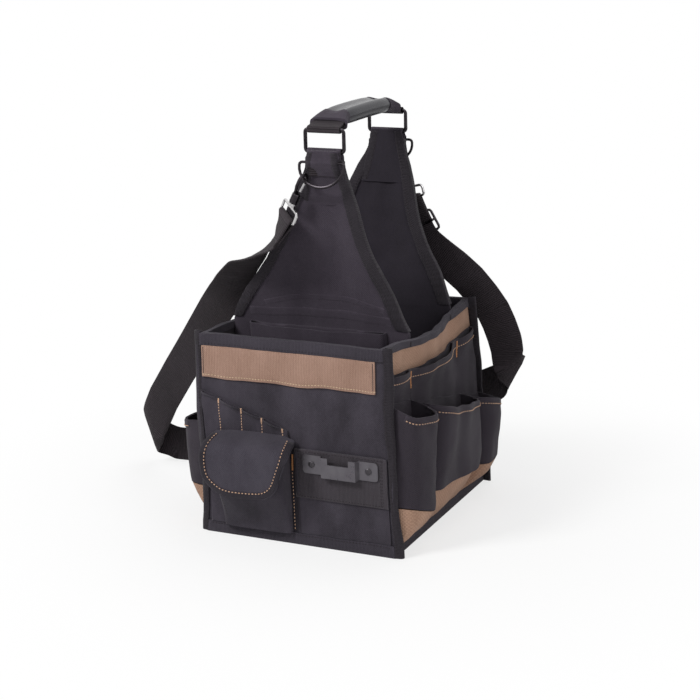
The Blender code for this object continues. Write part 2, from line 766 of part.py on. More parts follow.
def make_side(wall):
    place = side_place(wall)
    seams = side_seams(wall)
    low = BASE_TAPE_HEIGHT + GAP
    body, cells = pocket_row(place, seams, low, lambda along: BACK_ROW_TOP, SHEET_OUT,
                             BACK_ROW_DEPTH, lambda along: BACK_ROW_OPEN)
    row = add_object(wall + "_back_pockets", body, black_cloth())
    cut(row, cells)

    cells = list(zip(seams, seams[1:]))
    if wall == "left":
        cells.reverse()
    for (left, right), (name, near, far, depth, dip, *feet) in zip(cells, FRONT_ROW[wall]):
        depths = [depth * share for share in DEPTH_SHARES]
        bm = cup(place, left + GAP, right - GAP, ROW_OUT, by_side(wall, *feet),
                 by_side(wall, near, far), depths, depth * 0.6, dip)
        add_object(wall + "_pocket_" + name, bm, black_cloth())
    make_gusset(wall, place, cells)


def by_side(wall, near, far):
    """A pair given from the bag's front to its rear, turned round for the left side."""
    return (near, far) if wall == "right" else (far, near)


def make_gusset(wall, place, cells):
    """The tan fold under a side's pockets, running in to the base tape."""
    low = BASE_TAPE_HEIGHT + GAP
    stations = []
    for (left, right), (_, _, _, depth, _, *feet) in sorted(zip(cells, FRONT_ROW[wall])):
        foot = by_side(wall, *feet)
        end = GAP / (right - left)
        for share in (end, 0.06, 0.20, 0.40, 0.60, 0.80, 0.94, 1.0 - end):
            swell = math.sin(math.pi * share) ** 0.35
            stations.append((mix(left, right, share), depth * DEPTH_SHARES[0] * swell,
                             mix(foot[0], foot[1], share) - 3 * GAP))
    rings = []
    for along, depth, high in stations:
        rings.append([place(along, low, ROW_OUT),
                      place(along, low, ROW_OUT + CLOTH),
                      place(along, mix(low, high, 0.45), ROW_OUT + CLOTH + depth * 0.62),
                      place(along, high, ROW_OUT + CLOTH + depth),
                      place(along, high, ROW_OUT)])
    add_object(wall + "_gusset", skin(rings), tan_cloth())


# Front

def slab(place, left, right, low, high, out, thickness):
    """A flat patch on a wall, whose ends lean with it."""
    rings = []
    for z in (low, high):
        rings.append([place(left, z, out), place(right, z, out),
                      place(right, z, out + thickness), place(left, z, out + thickness)])
    return skin(rings)


TAN_STRIP_HIGH = BOX_HEIGHT - RIM_TAPE_HEIGHT - GAP
TAN_STRIP_LEFT = GAP - RIM_WIDTH / 2
TAN_STRIP_RIGHT = RIM_WIDTH / 2 - TAN_STRIP_SHORT


def make_tan_strips():
    for wall in ("front", "rear"):
        bm = slab(wall_place(wall), TAN_STRIP_LEFT, TAN_STRIP_RIGHT,
                  TAN_STRIP_HIGH - TAN_STRIP_HEIGHT, TAN_STRIP_HIGH, GAP, WEB)
        add_object(wall + "_tan_strip", bm, tan_cloth(), smooth=False)


SLOT_RIGHT = SLOT_LEFT + SLOT_FIRST_WIDTH + SLOT_COUNT * SLOT_WIDTH


def slot_top(along):
    share = (along - SLOT_LEFT) / (SLOT_RIGHT - SLOT_LEFT)
    return mix(SLOT_TOP_LEFT, SLOT_TOP_RIGHT, share)


def slot_open(along):
    """The slots stand open near their top edge, never below the flap's hinge."""
    return min(slot_top(along) - FLAP_TOP - FLAP_CLOTH - 2 * GAP, SLOT_OPEN)


def make_slot_pocket():
    first = SLOT_LEFT + SLOT_FIRST_WIDTH
    seams = [SLOT_LEFT] + [first + SLOT_WIDTH * index for index in range(SLOT_COUNT + 1)]
    low = BASE_TAPE_HEIGHT + GAP
    body, cells = pocket_row(wall_place("front"), seams, low, slot_top, GAP, SLOT_DEPTH,
                             slot_open, SLOT_TAIL)
    pocket = add_object("slot_pocket", body, black_cloth())
    cut(pocket, cells)


POUCH_OUT = GAP + 2 * CLOTH + GAP
POUCH_RIGHT = POUCH_LEFT + POUCH_WIDTH
POUCH_LOW = BASE_TAPE_HEIGHT + GAP
POUCH_SHARES = (0.55, 0.78, 0.92, 1.00, 1.00)


def make_pouch():
    depths = [POUCH_DEPTH * share for share in POUCH_SHARES]
    bm = cup(wall_place("front"), POUCH_LEFT, POUCH_RIGHT, POUCH_OUT, (POUCH_LOW, POUCH_LOW),
             (POUCH_TOP, POUCH_TOP), depths, POUCH_DEPTH * 0.35)
    add_object("pouch_body", bm, black_cloth())


# How wide the flap is on its way down its front
FLAP_OUTLINE_SHARES = ((0.45, 1.00), (0.72, 0.93), (0.86, 0.80), (0.95, 0.60), (1.00, 0.36))


def make_flap():
    """The flap: up from its hinge seam, over the pouch's mouth and down its front."""
    place = wall_place("front")
    crown = 0.08 * (POUCH_WIDTH / 2 - POUCH_DEPTH * 0.35)
    front = POUCH_OUT + POUCH_DEPTH + crown + CLOTH + 3 * GAP
    middle = POUCH_LEFT + POUCH_WIDTH / 2
    half = POUCH_WIDTH / 2 + FLAP_OVERHANG
    turn = POUCH_TOP + GAP
    # rows across the flap: height, distance out, and share of the half width
    rows = [(FLAP_TOP, POUCH_OUT, 0.90),
            (mix(turn, FLAP_TOP, 0.75), mix(POUCH_OUT, front, 0.4), 0.95),
            (mix(turn, FLAP_TOP, 0.40), mix(POUCH_OUT, front, 0.8), 0.98),
            (turn - FLAP_CLOTH, front + FLAP_CLOTH * 0.4, 1.00)]
    for part, share in FLAP_OUTLINE_SHARES:
        rows.append((mix(turn, turn - FLAP_DROP, part), front, share))
    rings = []
    steps = 6
    for index, (z, out, share) in enumerate(rows):
        lift = FLAP_CLOTH if index < 3 else 0.0
        push = FLAP_CLOTH if index > 1 else 0.0
        lower = []
        upper = []
        for step in range(steps + 1):
            along = middle + half * share * (2 * step / steps - 1)
            lower.append(place(along, z, out))
            upper.append(place(along, z + lift, out + push))
        rings.append(lower + upper[::-1])
    hinge = place(middle, FLAP_TOP + FLAP_CLOTH, POUCH_OUT)
    add_object("pouch_flap", skin(rings), black_cloth(), origin=hinge)


def make_closure_patch():
    """The loop patch that the flap closes on, following the pouch's front."""
    table = []
    for index, share in enumerate(POUCH_SHARES):
        table.append((mix(POUCH_LOW, POUCH_TOP, index / (len(POUCH_SHARES) - 1)), share))
    middle = POUCH_LEFT + POUCH_WIDTH / 2
    crown = 0.08 * (POUCH_WIDTH / 2 - POUCH_DEPTH * 0.35)
    rings = []
    steps = 3
    for level in range(steps + 1):
        z = mix(PATCH_LOW, PATCH_LOW + PATCH_HEIGHT, level / steps)
        out = POUCH_OUT + POUCH_DEPTH * along_table(table, z) + crown + GAP
        ring = []
        for side, lift in ((-1, 0.0), (1, 0.0), (1, CLOTH), (-1, CLOTH)):
            ring.append(wall_place("front")(middle + side * PATCH_WIDTH / 2, z, out + lift))
        rings.append(ring)
    add_object("closure_patch", skin(rings), black_webbing(), smooth=False)


CLIP_WEB_LEFT = POUCH_RIGHT + POUCH_TO_WEB
CLIP_WEB_RIGHT = half_width(CLIP_WEB_LOW + CLIP_WEB_HEIGHT) - GAP
CLIP_MIDDLE = (CLIP_WEB_LEFT + CLIP_WEB_RIGHT) / 2
LOWER_POCKET_OUT = GAP
CLIP_WEB_OUT = GAP + CLOTH + GAP


def make_front_right():
    place = wall_place("front")
    high = CLIP_WEB_LOW + CLIP_WEB_HEIGHT
    bm = slab(place, CLIP_WEB_LEFT, CLIP_WEB_RIGHT, BASE_TAPE_HEIGHT + GAP, high,
              LOWER_POCKET_OUT, CLOTH)
    add_object("front_lower_pocket", bm, black_cloth(), smooth=False)
    bm = slab(place, CLIP_WEB_LEFT, CLIP_WEB_RIGHT, CLIP_WEB_LOW, high, CLIP_WEB_OUT, WEB)
    add_object("clip_webbing", bm, black_webbing(), smooth=False)


def make_clip():
    """A bent steel clip: two riveted ears and a bridge that a tape measure hangs on."""
    place = wall_place("front")
    back = CLIP_WEB_OUT + WEB + GAP
    low = CLIP_WEB_LOW + (CLIP_WEB_HEIGHT - CLIP_HEIGHT) / 2 + CLIP_RAISED
    high = low + CLIP_HEIGHT
    ear = (CLIP_LENGTH - CLIP_BRIDGE) / 2
    start = CLIP_MIDDLE - CLIP_LENGTH / 2
    step = CLIP_STAND * 0.5
    # along the clip: distance from its end, distance out, rounding in, and drop of the foot
    half = []
    for turn in range(4):
        angle = math.pi / 2 * turn / 3
        half.append((CLIP_CORNER * (1.0 - math.cos(angle)), 0.0,
                     CLIP_CORNER * (1.0 - math.sin(angle)), 0.0))
    half += [(ear, 0.0, 0.0, 0.0), (ear + step, CLIP_STAND, 0.0, CLIP_TONGUE_DROP)]
    stations = half + [(CLIP_LENGTH - along, *rest) for along, *rest in reversed(half)]
    rings = []
    for along, out, inset, drop in stations:
        ring = []
        for z, lift in ((low + inset - drop, 0.0), (high - inset, 0.0),
                        (high - inset, CLIP_PLATE), (low + inset - drop, CLIP_PLATE)):
            ring.append(place(start + along, z, back + out + lift))
        rings.append(ring)
    plate = add_object("clip_plate", skin(rings), dark_metal(), smooth=False)
    notch_half = CLIP_BRIDGE * 0.27
    notch = slab(place, CLIP_MIDDLE - notch_half, CLIP_MIDDLE + notch_half,
                 low + CLIP_HEIGHT * 0.66, low + CLIP_HEIGHT + CLIP_PLATE,
                 back + CLIP_STAND * 0.5, CLIP_STAND)
    cut(plate, [notch])
    for side, name in ((-1, "left"), (1, "right")):
        along = CLIP_MIDDLE + side * (CLIP_LENGTH - ear) / 2
        middle = place(along, low + CLIP_HEIGHT / 2, back + CLIP_PLATE + GAP)
        make_rivet("clip_rivet_" + name, middle)


def make_rivet(name, seat):
    """A domed rivet head on the plate, leaning with the front wall."""
    outward = (on_wall("front", 0.0, 0.0, 1.0) - on_wall("front", 0.0, 0.0, 0.0)).normalized()
    across = Vector((1.0, 0.0, 0.0))
    upward = (on_wall("front", 0.0, BOX_HEIGHT, 0.0) - on_wall("front", 0.0, 0.0, 0.0)).normalized()
    rings = []
    for reach, rise in ((1.0, 0.0), (1.0, 0.35), (0.82, 0.80), (0.45, 1.0)):
        ring = []
        for side in range(12):
            angle = math.tau * side / 12
            spot = seat + outward * rise * RIVET_HEAD
            ring.append(spot + RIVET_RADIUS * reach * (math.cos(angle) * across
                                                       + math.sin(angle) * upward))
        rings.append(ring)
    add_object(name, skin(rings), dark_metal())


# Inside and rear pockets

def make_inner_pocket():
    """The flat pocket on the front face of the front divider."""
    front = FRONT_DIVIDER_Y - DIVIDER_THICKNESS / 2 - GAP

    def place(along, z, out):
        return Vector((along + lean(z).x, front - out, z))

    depth = INNER_POCKET_DEPTH
    depths = [depth * share for share in FLAT_POCKET_SHARES]
    low = BOX_HEIGHT * 0.42
    high = BOX_HEIGHT - TAPE
    bm = cup(place, -BASE_WIDTH * 0.37, BASE_WIDTH * 0.37, 0.0, (low, low), (high, high),
             depths, depth * 0.8)
    add_object("divider_pocket", bm, black_cloth())


def make_rear_pocket():
    depth = REAR_POCKET_DEPTH
    depths = [depth * share for share in FLAT_POCKET_SHARES]
    low = BASE_TAPE_HEIGHT + GAP
    high = BOX_HEIGHT - REAR_POCKET_BELOW
    bm = cup(wall_place("rear"), -BASE_WIDTH * 0.38, BASE_WIDTH * 0.38, GAP, (low, low),
             (high, high), depths, depth * 0.8)
    add_object("rear_pocket", bm, black_cloth())


# Handle

BAR_GAP = 0.0004
LOWER_BAR_Z = DIVIDER_TOP + GAP + RING_WIRE / 2 + LUG_STAND
UPPER_BAR_Z = LOWER_BAR_Z + RING_PITCH
LUG_PLACES = {"front": FRONT_LUG_Y, "rear": REAR_LUG_Y}


def outward(place):
    """-1 at the front and 1 at the rear."""
    return -1 if place == "front" else 1


def lug_bar(place):
    return Vector((LUG_SHIFT_X, LUG_PLACES[place], LOWER_BAR_Z))


def extrude_profile(profile, middle_x, width):
    """Sweep a (y, z) profile across X."""
    rings = []
    for side in (-1, 1):
        rings.append([Vector((middle_x + side * width / 2, y, z)) for y, z in profile])
    return skin(rings)


def make_lug(place):
    """Webbing folded over the ring's lower bar and down both faces of the divider."""
    bar = lug_bar(place)
    inner = RING_WIRE / 2 + BAR_GAP
    low = DIVIDER_TOP - LUG_LEG
    leg = DIVIDER_THICKNESS / 2 + GAP
    # the divider leans, so the legs follow it down
    top_y = divider_middle(place, DIVIDER_TOP).y
    low_y = divider_middle(place, low).y
    outer_arc = fold_points(bar, inner + WEB)
    inner_arc = fold_points(bar, inner)
    profile = [(low_y - leg - WEB, low), (top_y - leg - WEB, DIVIDER_TOP)] + outer_arc
    profile += [(top_y + leg + WEB, DIVIDER_TOP), (low_y + leg + WEB, low)]
    profile += [(low_y + leg, low), (top_y + leg, DIVIDER_TOP)] + inner_arc[::-1]
    profile += [(top_y - leg, DIVIDER_TOP), (low_y - leg, low)]
    add_object("lug_" + place, extrude_profile(profile, LUG_SHIFT_X, LUG_WEB_WIDTH),
               black_webbing())


def fold_points(bar, radius):
    points = []
    for step in range(9):
        angle = math.pi - math.pi * step / 8
        points.append((bar.y + radius * math.cos(angle), bar.z + radius * math.sin(angle)))
    return points


def make_ring(place):
    """A rectangular wire ring, with its origin on the lower bar, where it swings."""
    low = lug_bar(place)
    half = RING_INSIDE_WIDTH / 2 + RING_WIRE / 2
    bend = RING_BEND
    across = Vector((1.0, 0.0, 0.0))
    up = Vector((0.0, 0.0, 1.0))
    centre = low + up * RING_PITCH / 2
    points = []
    for quarter, (side_x, side_z) in enumerate(((1, 1), (-1, 1), (-1, -1), (1, -1))):
        corner = centre + across * side_x * (half - bend) + up * side_z * (RING_PITCH / 2 - bend)
        points += arc(corner, across * bend, up * bend, quarter * math.pi / 2,
                      (quarter + 1) * math.pi / 2, 4)
    add_object("ring_" + place, tube(points, RING_WIRE / 2, closed=True), dark_metal(),
               origin=low)


GRIP_Z = UPPER_BAR_Z + GRIP_RISE
GRIP_FRONT_Y = FRONT_LUG_Y + GRIP_END_IN
GRIP_REAR_Y = REAR_LUG_Y - GRIP_END_IN
LAYER = WEB / 2 + BAR_GAP


def grip_height(y):
    share = (y - GRIP_FRONT_Y) / (GRIP_REAR_Y - GRIP_FRONT_Y)
    return GRIP_Z + GRIP_ARCH * math.sin(math.pi * min(max(share, 0.0), 1.0))


def handle_section(share):
    """The webbing between a bar and the grip's end: its height, half width and half gap."""
    bar_gap = RING_WIRE / 2 + BAR_GAP + WEB / 2
    z = mix(UPPER_BAR_Z, GRIP_Z, smooth_share(share * 1.25))
    width = mix(HANDLE_WEB_WIDTH, HANDLE_WAIST, smooth_share((share - 0.3) / 0.6)) / 2
    return z, width, mix(bar_gap, LAYER, smooth_share(share * 1.6))


def handle_path():
    """The handle's middle line from the front bar to the rear one: (y, z, half width, half gap)."""
    path = []
    for share in (0.22, 0.40, 0.60, 0.80, 1.00):
        path.append((FRONT_LUG_Y + GRIP_END_IN * share, *handle_section(share)))
    steps = 8
    for step in range(1, steps):
        y = mix(GRIP_FRONT_Y, GRIP_REAR_Y, step / steps)
        path.append((y, grip_height(y), HANDLE_WAIST / 2, LAYER))
    mirrored = [(FRONT_LUG_Y + REAR_LUG_Y - y, z, width, spread)
                for y, z, width, spread in reversed(path[:5])]
    return path + mirrored


def make_handle_webbing():
    """One belt of webbing round both upper bars, its two layers together in the grip."""
    path = handle_path()
    spots = [Vector((0.0, y, z)) for y, z, _, _ in path]
    upper = []
    lower = []
    for index, (y, z, width, spread) in enumerate(path):
        before = spots[max(index - 1, 0)]
        after = spots[min(index + 1, len(spots) - 1)]
        along = (after - before).normalized()
        normal = Vector((0.0, -along.z, along.y))
        upper.append((spots[index] + normal * spread, normal, width))
        lower.append((spots[index] - normal * spread, -normal, width))
    loop = []
    loop += upper
    loop += bar_turn(REAR_LUG_Y, 1)
    loop += reversed(lower)
    loop += bar_turn(FRONT_LUG_Y, -1)
    rings = []
    for spot, normal, width in loop:
        side = Vector((width, 0.0, 0.0))
        middle = spot + Vector((LUG_SHIFT_X, 0.0, 0.0))
        rings.append([middle - side - normal * WEB / 2, middle + side - normal * WEB / 2,
                      middle + side + normal * WEB / 2, middle - side + normal * WEB / 2])
    add_object("handle_webbing", skin(rings, closed=True), black_webbing(),
               origin=(LUG_SHIFT_X, FRONT_LUG_Y, UPPER_BAR_Z))


def bar_turn(y, way):
    """The belt's half turn round an upper bar, from above it to below."""
    radius = RING_WIRE / 2 + BAR_GAP + WEB / 2
    turn = []
    start = math.radians(106.0)
    for step in range(9):
        angle = start - (start + math.radians(102.0)) * step / 8
        normal = Vector((0.0, way * math.cos(angle), math.sin(angle)))
        turn.append((Vector((0.0, y, UPPER_BAR_Z)) + normal * radius, normal,
                     HANDLE_WEB_WIDTH / 2))
    return turn if way > 0 else turn[::-1]


ROLL_STEPS = 10             # round the outer half of one roll
ROLL_OFFSET = GRIP_ROLL / 2 * 0.92


def outline_angles():
    return [math.pi * (step + 0.5) / ROLL_STEPS - math.pi / 2 for step in range(ROLL_STEPS)]


def roll_outline(growth):
    """Two padded rolls side by side, as one outline with a groove above and below."""
    radius = GRIP_ROLL / 2 + growth
    groove = math.sqrt(max(radius * radius - ROLL_OFFSET * ROLL_OFFSET, 0.0)) + radius * 0.15
    groove = max(groove, LAYER + WEB + CLOTH)
    right = [(ROLL_OFFSET + radius * math.cos(angle), radius * math.sin(angle))
             for angle in outline_angles()]
    left = [(-x, -z) for x, z in right]
    return right + [(0.0, groove)] + left + [(0.0, -groove)]


def flat_outline(half, rise):
    """A flat, round-ended outline with as many points as the rolls."""
    right = []
    for angle in outline_angles():
        tall = math.copysign(abs(math.sin(angle)) ** 0.6, angle)
        right.append((half * math.cos(angle) ** 0.4, rise * tall))
    left = [(-x, -z) for x, z in right]
    return right + [(0.0, rise)] + left + [(0.0, -rise)]


def slot_outline(half, rise):
    """The flat slot that the webbing runs through, with as many points as the rolls."""
    right = [(half * share, -rise) for share in (0.25, 0.50, 0.75, 1.00)]
    right += [(half, -rise / 3), (half, rise / 3)]
    right += [(half * share, rise) for share in (1.00, 0.75, 0.50, 0.25)]
    left = [(-x, -z) for x, z in right]
    return right + [(0.0, rise)] + left + [(0.0, -rise)]


def handle_ring(outline, y, z):
    return [Vector((LUG_SHIFT_X + x, y, z + rise)) for x, rise in outline]


def make_grip():
    outer = []
    inner = []
    steps = 8
    slot = slot_outline(HANDLE_WAIST / 2 + GAP, LAYER + WEB / 2 + GAP)
    for step in range(steps + 1):
        y = mix(GRIP_FRONT_Y, GRIP_REAR_Y, step / steps)
        growth = -GRIP_END_ROUND if step in (0, steps) else 0.0
        outer.append(handle_ring(roll_outline(growth), y, grip_height(y)))
        inner.append(handle_ring(slot, y, grip_height(y)))
    add_object("handle_grip", skin(outer + inner[::-1], closed=True), grip_vinyl(),
               origin=(LUG_SHIFT_X, FRONT_LUG_Y, UPPER_BAR_Z))


def make_sleeve(place):
    """A short black sleeve that closes the end of the grip over the webbing."""
    way = -outward(place)
    bar = LUG_PLACES[place]
    rings = []
    inner = []
    steps = 4
    for step in range(steps + 1):
        part = step / steps
        reach = GRIP_END_IN - GAP - SLEEVE_LENGTH * part
        z, width, spread = handle_section(reach / GRIP_END_IN)
        slot_half = width + 3 * GAP
        slot_rise = (spread + WEB / 2) * SLEEVE_SLOPE + 2 * GAP
        rolls = roll_outline(0.0)
        flat = flat_outline(slot_half + 2 * CLOTH, slot_rise + 2 * CLOTH)
        share = smooth_share(0.15 + 0.85 * part)
        outline = [(mix(a, c, share), mix(b, d, share)) for (a, b), (c, d) in zip(rolls, flat)]
        rings.append(handle_ring(outline, bar + way * reach, z))
        inner.append(handle_ring(slot_outline(slot_half, slot_rise), bar + way * reach, z))
    add_object("handle_sleeve_" + place, skin(rings + inner[::-1], closed=True), black_cloth(),
               origin=(LUG_SHIFT_X, FRONT_LUG_Y, UPPER_BAR_Z))


# D-rings, snap hooks and shoulder strap

def d_bar(place):
    """The middle of a D-ring's bar, on the outer face of the lug webbing."""
    reach = DIVIDER_THICKNESS / 2 + GAP + WEB + GAP + WEB + BAR_GAP + D_RING_WIRE / 2
    lug = lug_bar(place)
    return lug + Vector((0.0, outward(place) * reach, -D_RING_DROP))


def d_down(place):
    """The way that the D hangs from its bar."""
    return Vector((0.0, outward(place) * math.sin(D_RING_TILT), -math.cos(D_RING_TILT)))


def d_spot(place, angle):
    """A place on the D's round part, from its right end at no angle to its left at half a turn."""
    drop = D_RING_SHOULDER + (D_RING_RADIUS - D_RING_SHOULDER) * math.sin(angle)
    return (d_bar(place) + Vector((D_RING_RADIUS * math.cos(angle), 0.0, 0.0))
            + d_down(place) * drop)


def make_d_ring(place):
    bar = d_bar(place)
    down = d_down(place)
    across = Vector((1.0, 0.0, 0.0))
    points = [d_spot(place, math.pi * step / 16) for step in range(17)]
    bend = D_RING_SHOULDER
    left = bar - across * (D_RING_RADIUS - bend) + down * bend
    right = bar + across * (D_RING_RADIUS - bend) + down * bend
    points += arc(left, -across * bend, -down * bend, 0.0, math.pi / 2, 3)[1:]
    points += arc(right, -down * bend, across * bend, 0.0, math.pi / 2, 3)[:-1]
    add_object("d_ring_" + place, tube(points, D_RING_WIRE / 2, closed=True), dark_metal(),
               origin=bar)


def make_d_tab(place):
    """Webbing folded over the D-ring's bar and sewn down on the lug."""
    bar = d_bar(place)
    way = outward(place)
    inner = D_RING_WIRE / 2 + BAR_GAP
    outer = inner + WEB
    profile = []
    for step in range(9):
        angle = math.pi * (1 - step / 8)
        profile.append((outer * math.cos(angle), outer * math.sin(angle)))
    profile += [(outer * 0.85, -outer * 0.5), (outer * 0.3, -outer * 1.1), (0.0, -outer * 1.8),
                (-outer * 0.1, -D_TAB_TAIL), (-outer, -D_TAB_TAIL)]
    profile = [(bar.y + way * out, bar.z + rise) for out, rise in profile]
    tab = add_object("d_ring_tab_" + place, extrude_profile(profile, bar.x, D_TAB_WIDTH),
                     black_webbing(), smooth=False)
    side = Vector((D_TAB_WIDTH, 0.0, 0.0))
    cut(tab, [tube([bar - side, bar + side], inner, sides=16)])


def hook_frame(place):
    """The middle of the hook's arch, the way down its axis, across its jaw, and its jaw's
    upright: the jaw lies square to the D-ring's wire."""
    angle = HOOK_PLACES[place]
    wire = d_spot(place, angle)
    tangent = (d_spot(place, angle + 0.01) - d_spot(place, angle - 0.01)).normalized()
    end = 0 if place == "front" else -1
    axis = (route_spot(STRAP_ROUTE_SHARES[end]) - wire).normalized()
    upright = (tangent - axis * tangent.dot(axis)).normalized()
    across = axis.cross(upright)
    if across.y * outward(place) > 0:
        upright = -upright
        across = -across
    return wire + axis * JAW_SEAT, axis, across, upright


def route_spot(row):
    return Vector((row[0] * SPAN_X, row[1] * SPAN_Y, row[2] * SPAN_Z))


JAW_RADIUS = JAW_INSIDE / 2 + HOOK_WIRE / 2


def hook_points(place, table):
    middle, axis, across, _ = hook_frame(place)
    return [middle + across * side + axis * down for side, down in table]


def make_hook(place):
    """One bent wire: the tip, the arch, the spine and the neck that runs into the barrel."""
    middle, axis, across, _ = hook_frame(place)
    arch = []
    for step in range(9):
        angle = math.pi * step / 8
        arch.append((JAW_RADIUS * math.cos(angle), -JAW_RADIUS * math.sin(angle)))
    table = [(JAW_RADIUS, JAW_TIP)] + arch
    table += [(-JAW_RADIUS, JAW_LENGTH * 0.42), (-JAW_RADIUS * 0.75, JAW_LENGTH * 0.66),
              (-JAW_RADIUS * 0.25, JAW_LENGTH * 0.84), (0.0, JAW_LENGTH * 0.98)]
    radii = [HOOK_WIRE / 2] * len(table)
    table += [(0.0, JAW_LENGTH), (0.0, JAW_LENGTH + BARREL_LENGTH * 0.08),
              (0.0, JAW_LENGTH + BARREL_LENGTH * 0.92), (0.0, JAW_LENGTH + BARREL_LENGTH)]
    radii += [BARREL_RADIUS * 0.86, BARREL_RADIUS, BARREL_RADIUS, BARREL_RADIUS * 0.86]
    add_object("hook_" + place, tube(hook_points(place, table), radii), dark_metal(),
               origin=middle + axis * (JAW_LENGTH + BARREL_LENGTH / 2))


def make_gate(place):
    foot = (JAW_RADIUS - GATE_FOOT_IN, JAW_LENGTH - GATE_WIRE / 2 - 2 * GAP)
    head = (JAW_RADIUS, JAW_TIP + GAP)
    points = hook_points(place, [foot, head])
    add_object("hook_gate_" + place, tube(points, GATE_WIRE / 2, sides=8), bright_metal(),
               origin=points[0])


def eye_frame(place):
    """The middle of the strap's bar in the swivel's eye, along the bar, and down the strap."""
    middle, axis, _, _ = hook_frame(place)
    row = STRAP_ROUTE_SHARES[0 if place == "front" else -1]
    across = Vector(row[3:6]).normalized()
    down = (axis - across * axis.dot(across)).normalized()
    top = middle + axis * (JAW_LENGTH + BARREL_LENGTH + GAP + BOSS_LENGTH)
    return top + down * EYE_HEIGHT, across, down


def make_swivel(place):
    """A boss that the hook turns on, and a wide eye for the strap."""
    middle, axis, _, _ = hook_frame(place)
    bar, across, down = eye_frame(place)
    half = STRAP_WIDTH / 2 + EYE_SPARE + EYE_WIRE / 2
    bend = EYE_WIRE
    centre = bar - down * EYE_HEIGHT / 2
    points = []
    for quarter, (side, drop) in enumerate(((1, 1), (-1, 1), (-1, -1), (1, -1))):
        corner = (centre + across * side * (half - bend)
                  + down * drop * (EYE_HEIGHT / 2 - bend))
        points += arc(corner, across * bend, down * bend, quarter * math.pi / 2,
                      (quarter + 1) * math.pi / 2, 3)
    eye = add_object("hook_swivel_" + place, tube(points, EYE_WIRE / 2, closed=True),
                     bright_metal())
    start = middle + axis * (JAW_LENGTH + BARREL_LENGTH + GAP)
    boss = add_object("boss_" + place, tube([start, start + axis * BOSS_LENGTH], BOSS_RADIUS,
                                            sides=12), bright_metal())
    fuse(eye, boss)


def strap_frames():
    """The strap's middle line as (spot, across, normal, stretch) from eye to eye."""
    rows = []
    for row in STRAP_ROUTE_SHARES:
        rows.append((route_spot(row), Vector(row[3:6]).normalized(), row[6]))
    first, across, _ = eye_frame("front")
    rows[0] = (first, across, 1.0)
    last, across, _ = eye_frame("rear")
    rows[-1] = (last, across, 1.0)
    spots = []
    for index in range(len(rows) - 1):
        before = rows[max(index - 1, 0)][0]
        low = rows[index]
        high = rows[index + 1]
        after = rows[min(index + 2, len(rows) - 1)][0]
        for step in range(STRAP_STEPS):
            share = step / STRAP_STEPS
            spots.append((curve_spot(before, low[0], high[0], after, share),
                          mix(low[1], high[1], share).normalized(),
                          mix(low[2], high[2], share)))
    spots.append(rows[-1])
    frames = []
    for index, (spot, across, stretch) in enumerate(spots):
        ahead = spots[min(index + 1, len(spots) - 1)][0]
        behind = spots[max(index - 1, 0)][0]
        normal = (ahead - behind).cross(across).normalized()
        frames.append((spot, across, normal, stretch))
    return frames


def curve_spot(before, low, high, after, share):
    """A smooth curve through low and high."""
    square = share * share
    cube = square * share
    return 0.5 * ((2.0 * low) + (high - before) * share
                  + (2.0 * before - 5.0 * low + 4.0 * high - after) * square
                  + (3.0 * low - before - 3.0 * high + after) * cube)


def distances(frames):
    reached = [0.0]
    for low, high in zip(frames, frames[1:]):
        reached.append(reached[-1] + (high[0] - low[0]).length)
    return reached


EYE_LIFT = EYE_WIRE / 2 + BAR_GAP + STRAP_THICKNESS / 2
LAYER_LIFT = (STRAP_THICKNESS + GAP) / 2


def layer_lift(along, tail):
    """How far a layer stands off the middle line at a distance from an eye."""
    if along < tail:
        return mix(EYE_LIFT, LAYER_LIFT, smooth_share(along / TAIL_SETTLE))
    return mix(LAYER_LIFT, 0.0, smooth_share((along - tail - TAIL_SETTLE / 4) / TAIL_SETTLE))


def tail_rows(frames, reached, tail):
    """The layer that runs back from an eye, on the far side of the middle line."""
    rows = []
    for (spot, across, normal, _), along in zip(frames, reached):
        if along < tail:
            lift = mix(EYE_LIFT, LAYER_LIFT, smooth_share(along / TAIL_SETTLE))
            rows.append((spot - normal * lift, across, -normal, 1.0))
    return rows


def eye_turn(frame, away):
    """The strap's half turn round the bar of an eye, from its main layer to its tail."""
    spot, across, normal, _ = frame
    rows = []
    for step in range(1, 8):
        angle = math.pi * step / 8
        lifted = normal * math.cos(angle) + away * math.sin(angle)
        rows.append((spot + lifted * EYE_LIFT, across, lifted, 1.0))
    return rows


def make_strap():
    frames = strap_frames()
    reached = distances(frames)
    total = reached[-1]
    main = []
    for (spot, across, normal, stretch), along in zip(frames, reached):
        lift = layer_lift(along, FRONT_TAIL) + layer_lift(total - along, REAR_TAIL)
        main.append((spot + normal * lift, across, normal, stretch))
    backward = frames[::-1]
    front_tail = tail_rows(frames, reached, FRONT_TAIL)
    rear_tail = tail_rows(backward, [total - along for along in reached[::-1]], REAR_TAIL)
    front_away = (frames[0][0] - frames[1][0]).normalized()
    rear_away = (frames[-1][0] - frames[-2][0]).normalized()
    rows = front_tail[::-1] + eye_turn(frames[0], front_away)[::-1] + main
    rows += eye_turn(frames[-1], rear_away) + rear_tail
    rings = []
    for spot, across, normal, stretch in rows:
        side = across * STRAP_WIDTH / 2 * stretch
        rise = normal * STRAP_THICKNESS / 2
        rings.append([spot - side - rise, spot + side - rise, spot + side + rise,
                      spot - side + rise])
    add_object("shoulder_strap", skin(rings, paired=True), black_webbing())


